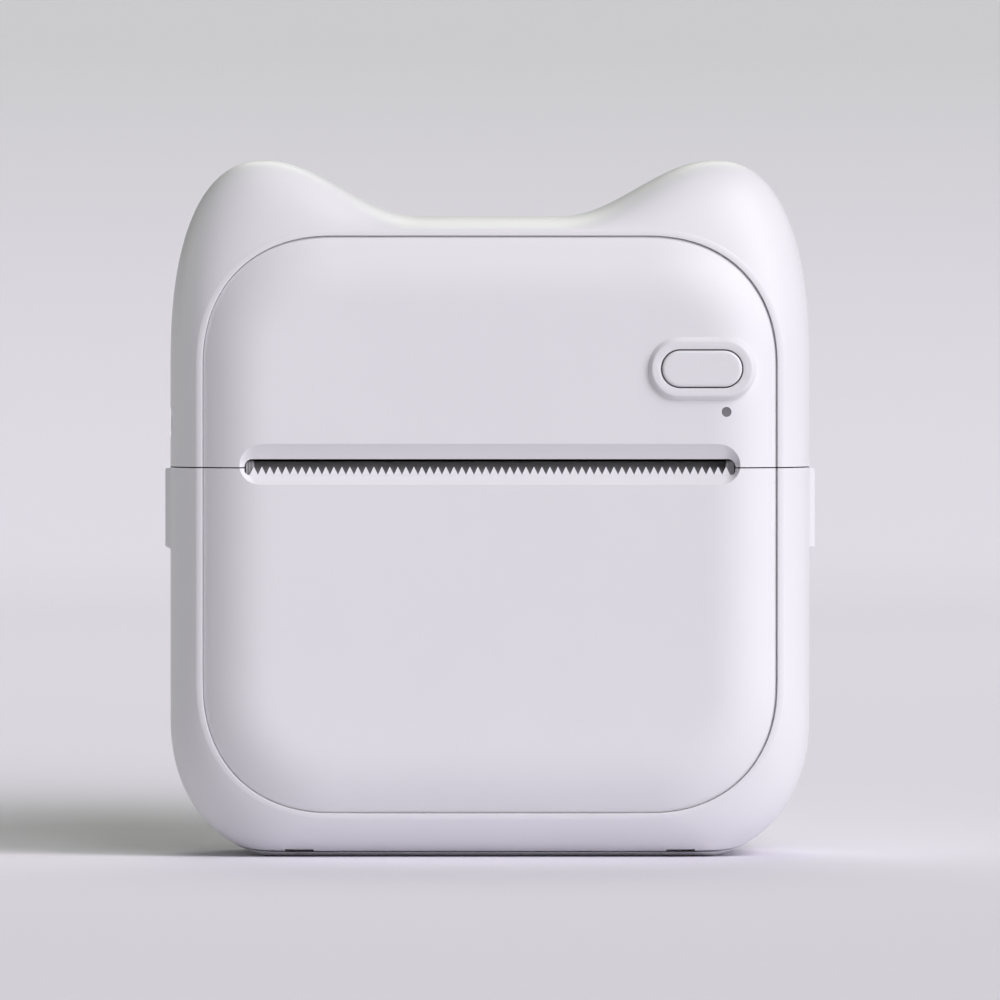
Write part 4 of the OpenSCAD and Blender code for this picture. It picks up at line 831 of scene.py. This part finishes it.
def card_outline():
    """The card seen from the side: flat, a slight rise behind the part, and a sweep up."""
    curve = swept((RISE_Y, 0.0), RISE_R, 0, RISE_SLOPE, 6)
    end = curve[-1]
    start = (SWEEP_Y, end[1] + (SWEEP_Y - end[0]) * math.tan(math.radians(RISE_SLOPE)))
    curve += swept(start, SWEEP_R, RISE_SLOPE, SWEEP_SLOPE, 16)
    end = curve[-1]
    top = end[0] + (CARD_TOP - end[1]) / math.tan(math.radians(SWEEP_SLOPE))
    return [(CARD_FRONT, 0), *curve, (top, CARD_TOP), (top + CARD_THICK, CARD_TOP),
            (top + CARD_THICK, CARD_UNDER), (CARD_FRONT, CARD_UNDER)]


def card_material():
    """Matt card, whose tone changes with height: darker towards its top as painted shade."""
    mat = bpy.data.materials.new("pale_card_painted_shade")
    mat.use_nodes = True
    tree = mat.node_tree
    shader = tree.nodes["Principled BSDF"]
    shader.inputs["Roughness"].default_value = 0.85
    shader.inputs["Specular IOR Level"].default_value = 0.1
    spot = node(tree, "ShaderNodeTexCoord")
    parts = node(tree, "ShaderNodeSeparateXYZ")
    height = node(tree, "ShaderNodeMapRange", {"From Min": 0.0, "From Max": CARD_HIGH_Z})
    ramp = node(tree, "ShaderNodeValToRGB")
    stops = ramp.color_ramp.elements
    stops[0].color, stops[1].color = (*CARD_LOW, 1), (*CARD_HIGH, 1)
    mid = stops.new(CARD_MID_STOP)
    mid.color = (*CARD_MID, 1)
    link = tree.links.new
    link(spot.outputs["Object"], parts.inputs["Vector"])
    link(parts.outputs["Z"], height.inputs["Value"])
    link(height.outputs["Result"], ramp.inputs["Fac"])
    link(ramp.outputs["Color"], shader.inputs["Base Color"])
    return mat


def floor():
    """A sheet of pale card under and behind the part."""
    obj = soften(prism_x("floor", card_outline(), -CARD_HALF, CARD_HALF), 20)
    obj.data.materials.append(card_material())


def world():
    """A faint even light from all round."""
    sky = bpy.data.worlds.new("studio")
    bpy.context.scene.world = sky
    sky.use_nodes = True
    back = sky.node_tree.nodes["Background"]
    back.inputs["Color"].default_value = SKY_COLOUR
    back.inputs["Strength"].default_value = SKY_STRENGTH


def lamp(name, around, up, strength, colour):
    """A broad soft lamp, placed by its direction as seen from the part."""
    around, up = math.radians(around), math.radians(up)
    shine = Vector((-math.sin(around) * math.cos(up), math.cos(around) * math.cos(up),
                    -math.sin(up)))
    bpy.ops.object.light_add(type="SUN", location=(0, 0, 1),
                             rotation=shine.to_track_quat("-Z", "Y").to_euler())
    made = bpy.context.object
    made.name = name
    made.data.energy = strength
    made.data.color = colour
    made.data.angle = math.radians(LAMP_SPREAD)


# The camera: distance and width of the view in metres, its tilt, and what it aims at
VIEW_FAR, VIEW_W, VIEW_TILT, VIEW_AIM = 2.8, 0.1227, 1, Vector((1.23, -12, 43.8)) * MM
SENSOR = 36


def camera():
    tilt = math.radians(VIEW_TILT)
    place = VIEW_AIM + VIEW_FAR * Vector((0, -math.cos(tilt), math.sin(tilt)))
    bpy.ops.object.camera_add(location=place, rotation=(math.pi / 2 - tilt, 0, 0))
    cam = bpy.context.object
    cam.data.sensor_width = SENSOR
    cam.data.lens = SENSOR * VIEW_FAR / VIEW_W
    cam.data.clip_end = 100
    bpy.context.scene.camera = cam


# ---------- the scene ----------

bpy.context.scene.view_settings.view_transform = "Standard"
shells = [*front_border(), upper_panel(), lower_panel()]
ramp_piece = exit_guide()
ramp_ends = [guide_end("guide_end_left", -1), guide_end("guide_end_right", 1)]
shells += [button_cap(), rear_case()]

for node_name, node_obj in frame["nodes"].items():
    wear(node_obj, SLOT_OF[node_name])
for piece in shells:
    dress(piece, "shell")
dress(ramp_piece, "dark_moulding", "guide_ramp")
for piece in ramp_ends:
    dress(piece, "dark_moulding", "guide_stop")

floor()
world()
for row in LAMPS:
    lamp(*row)
camera()
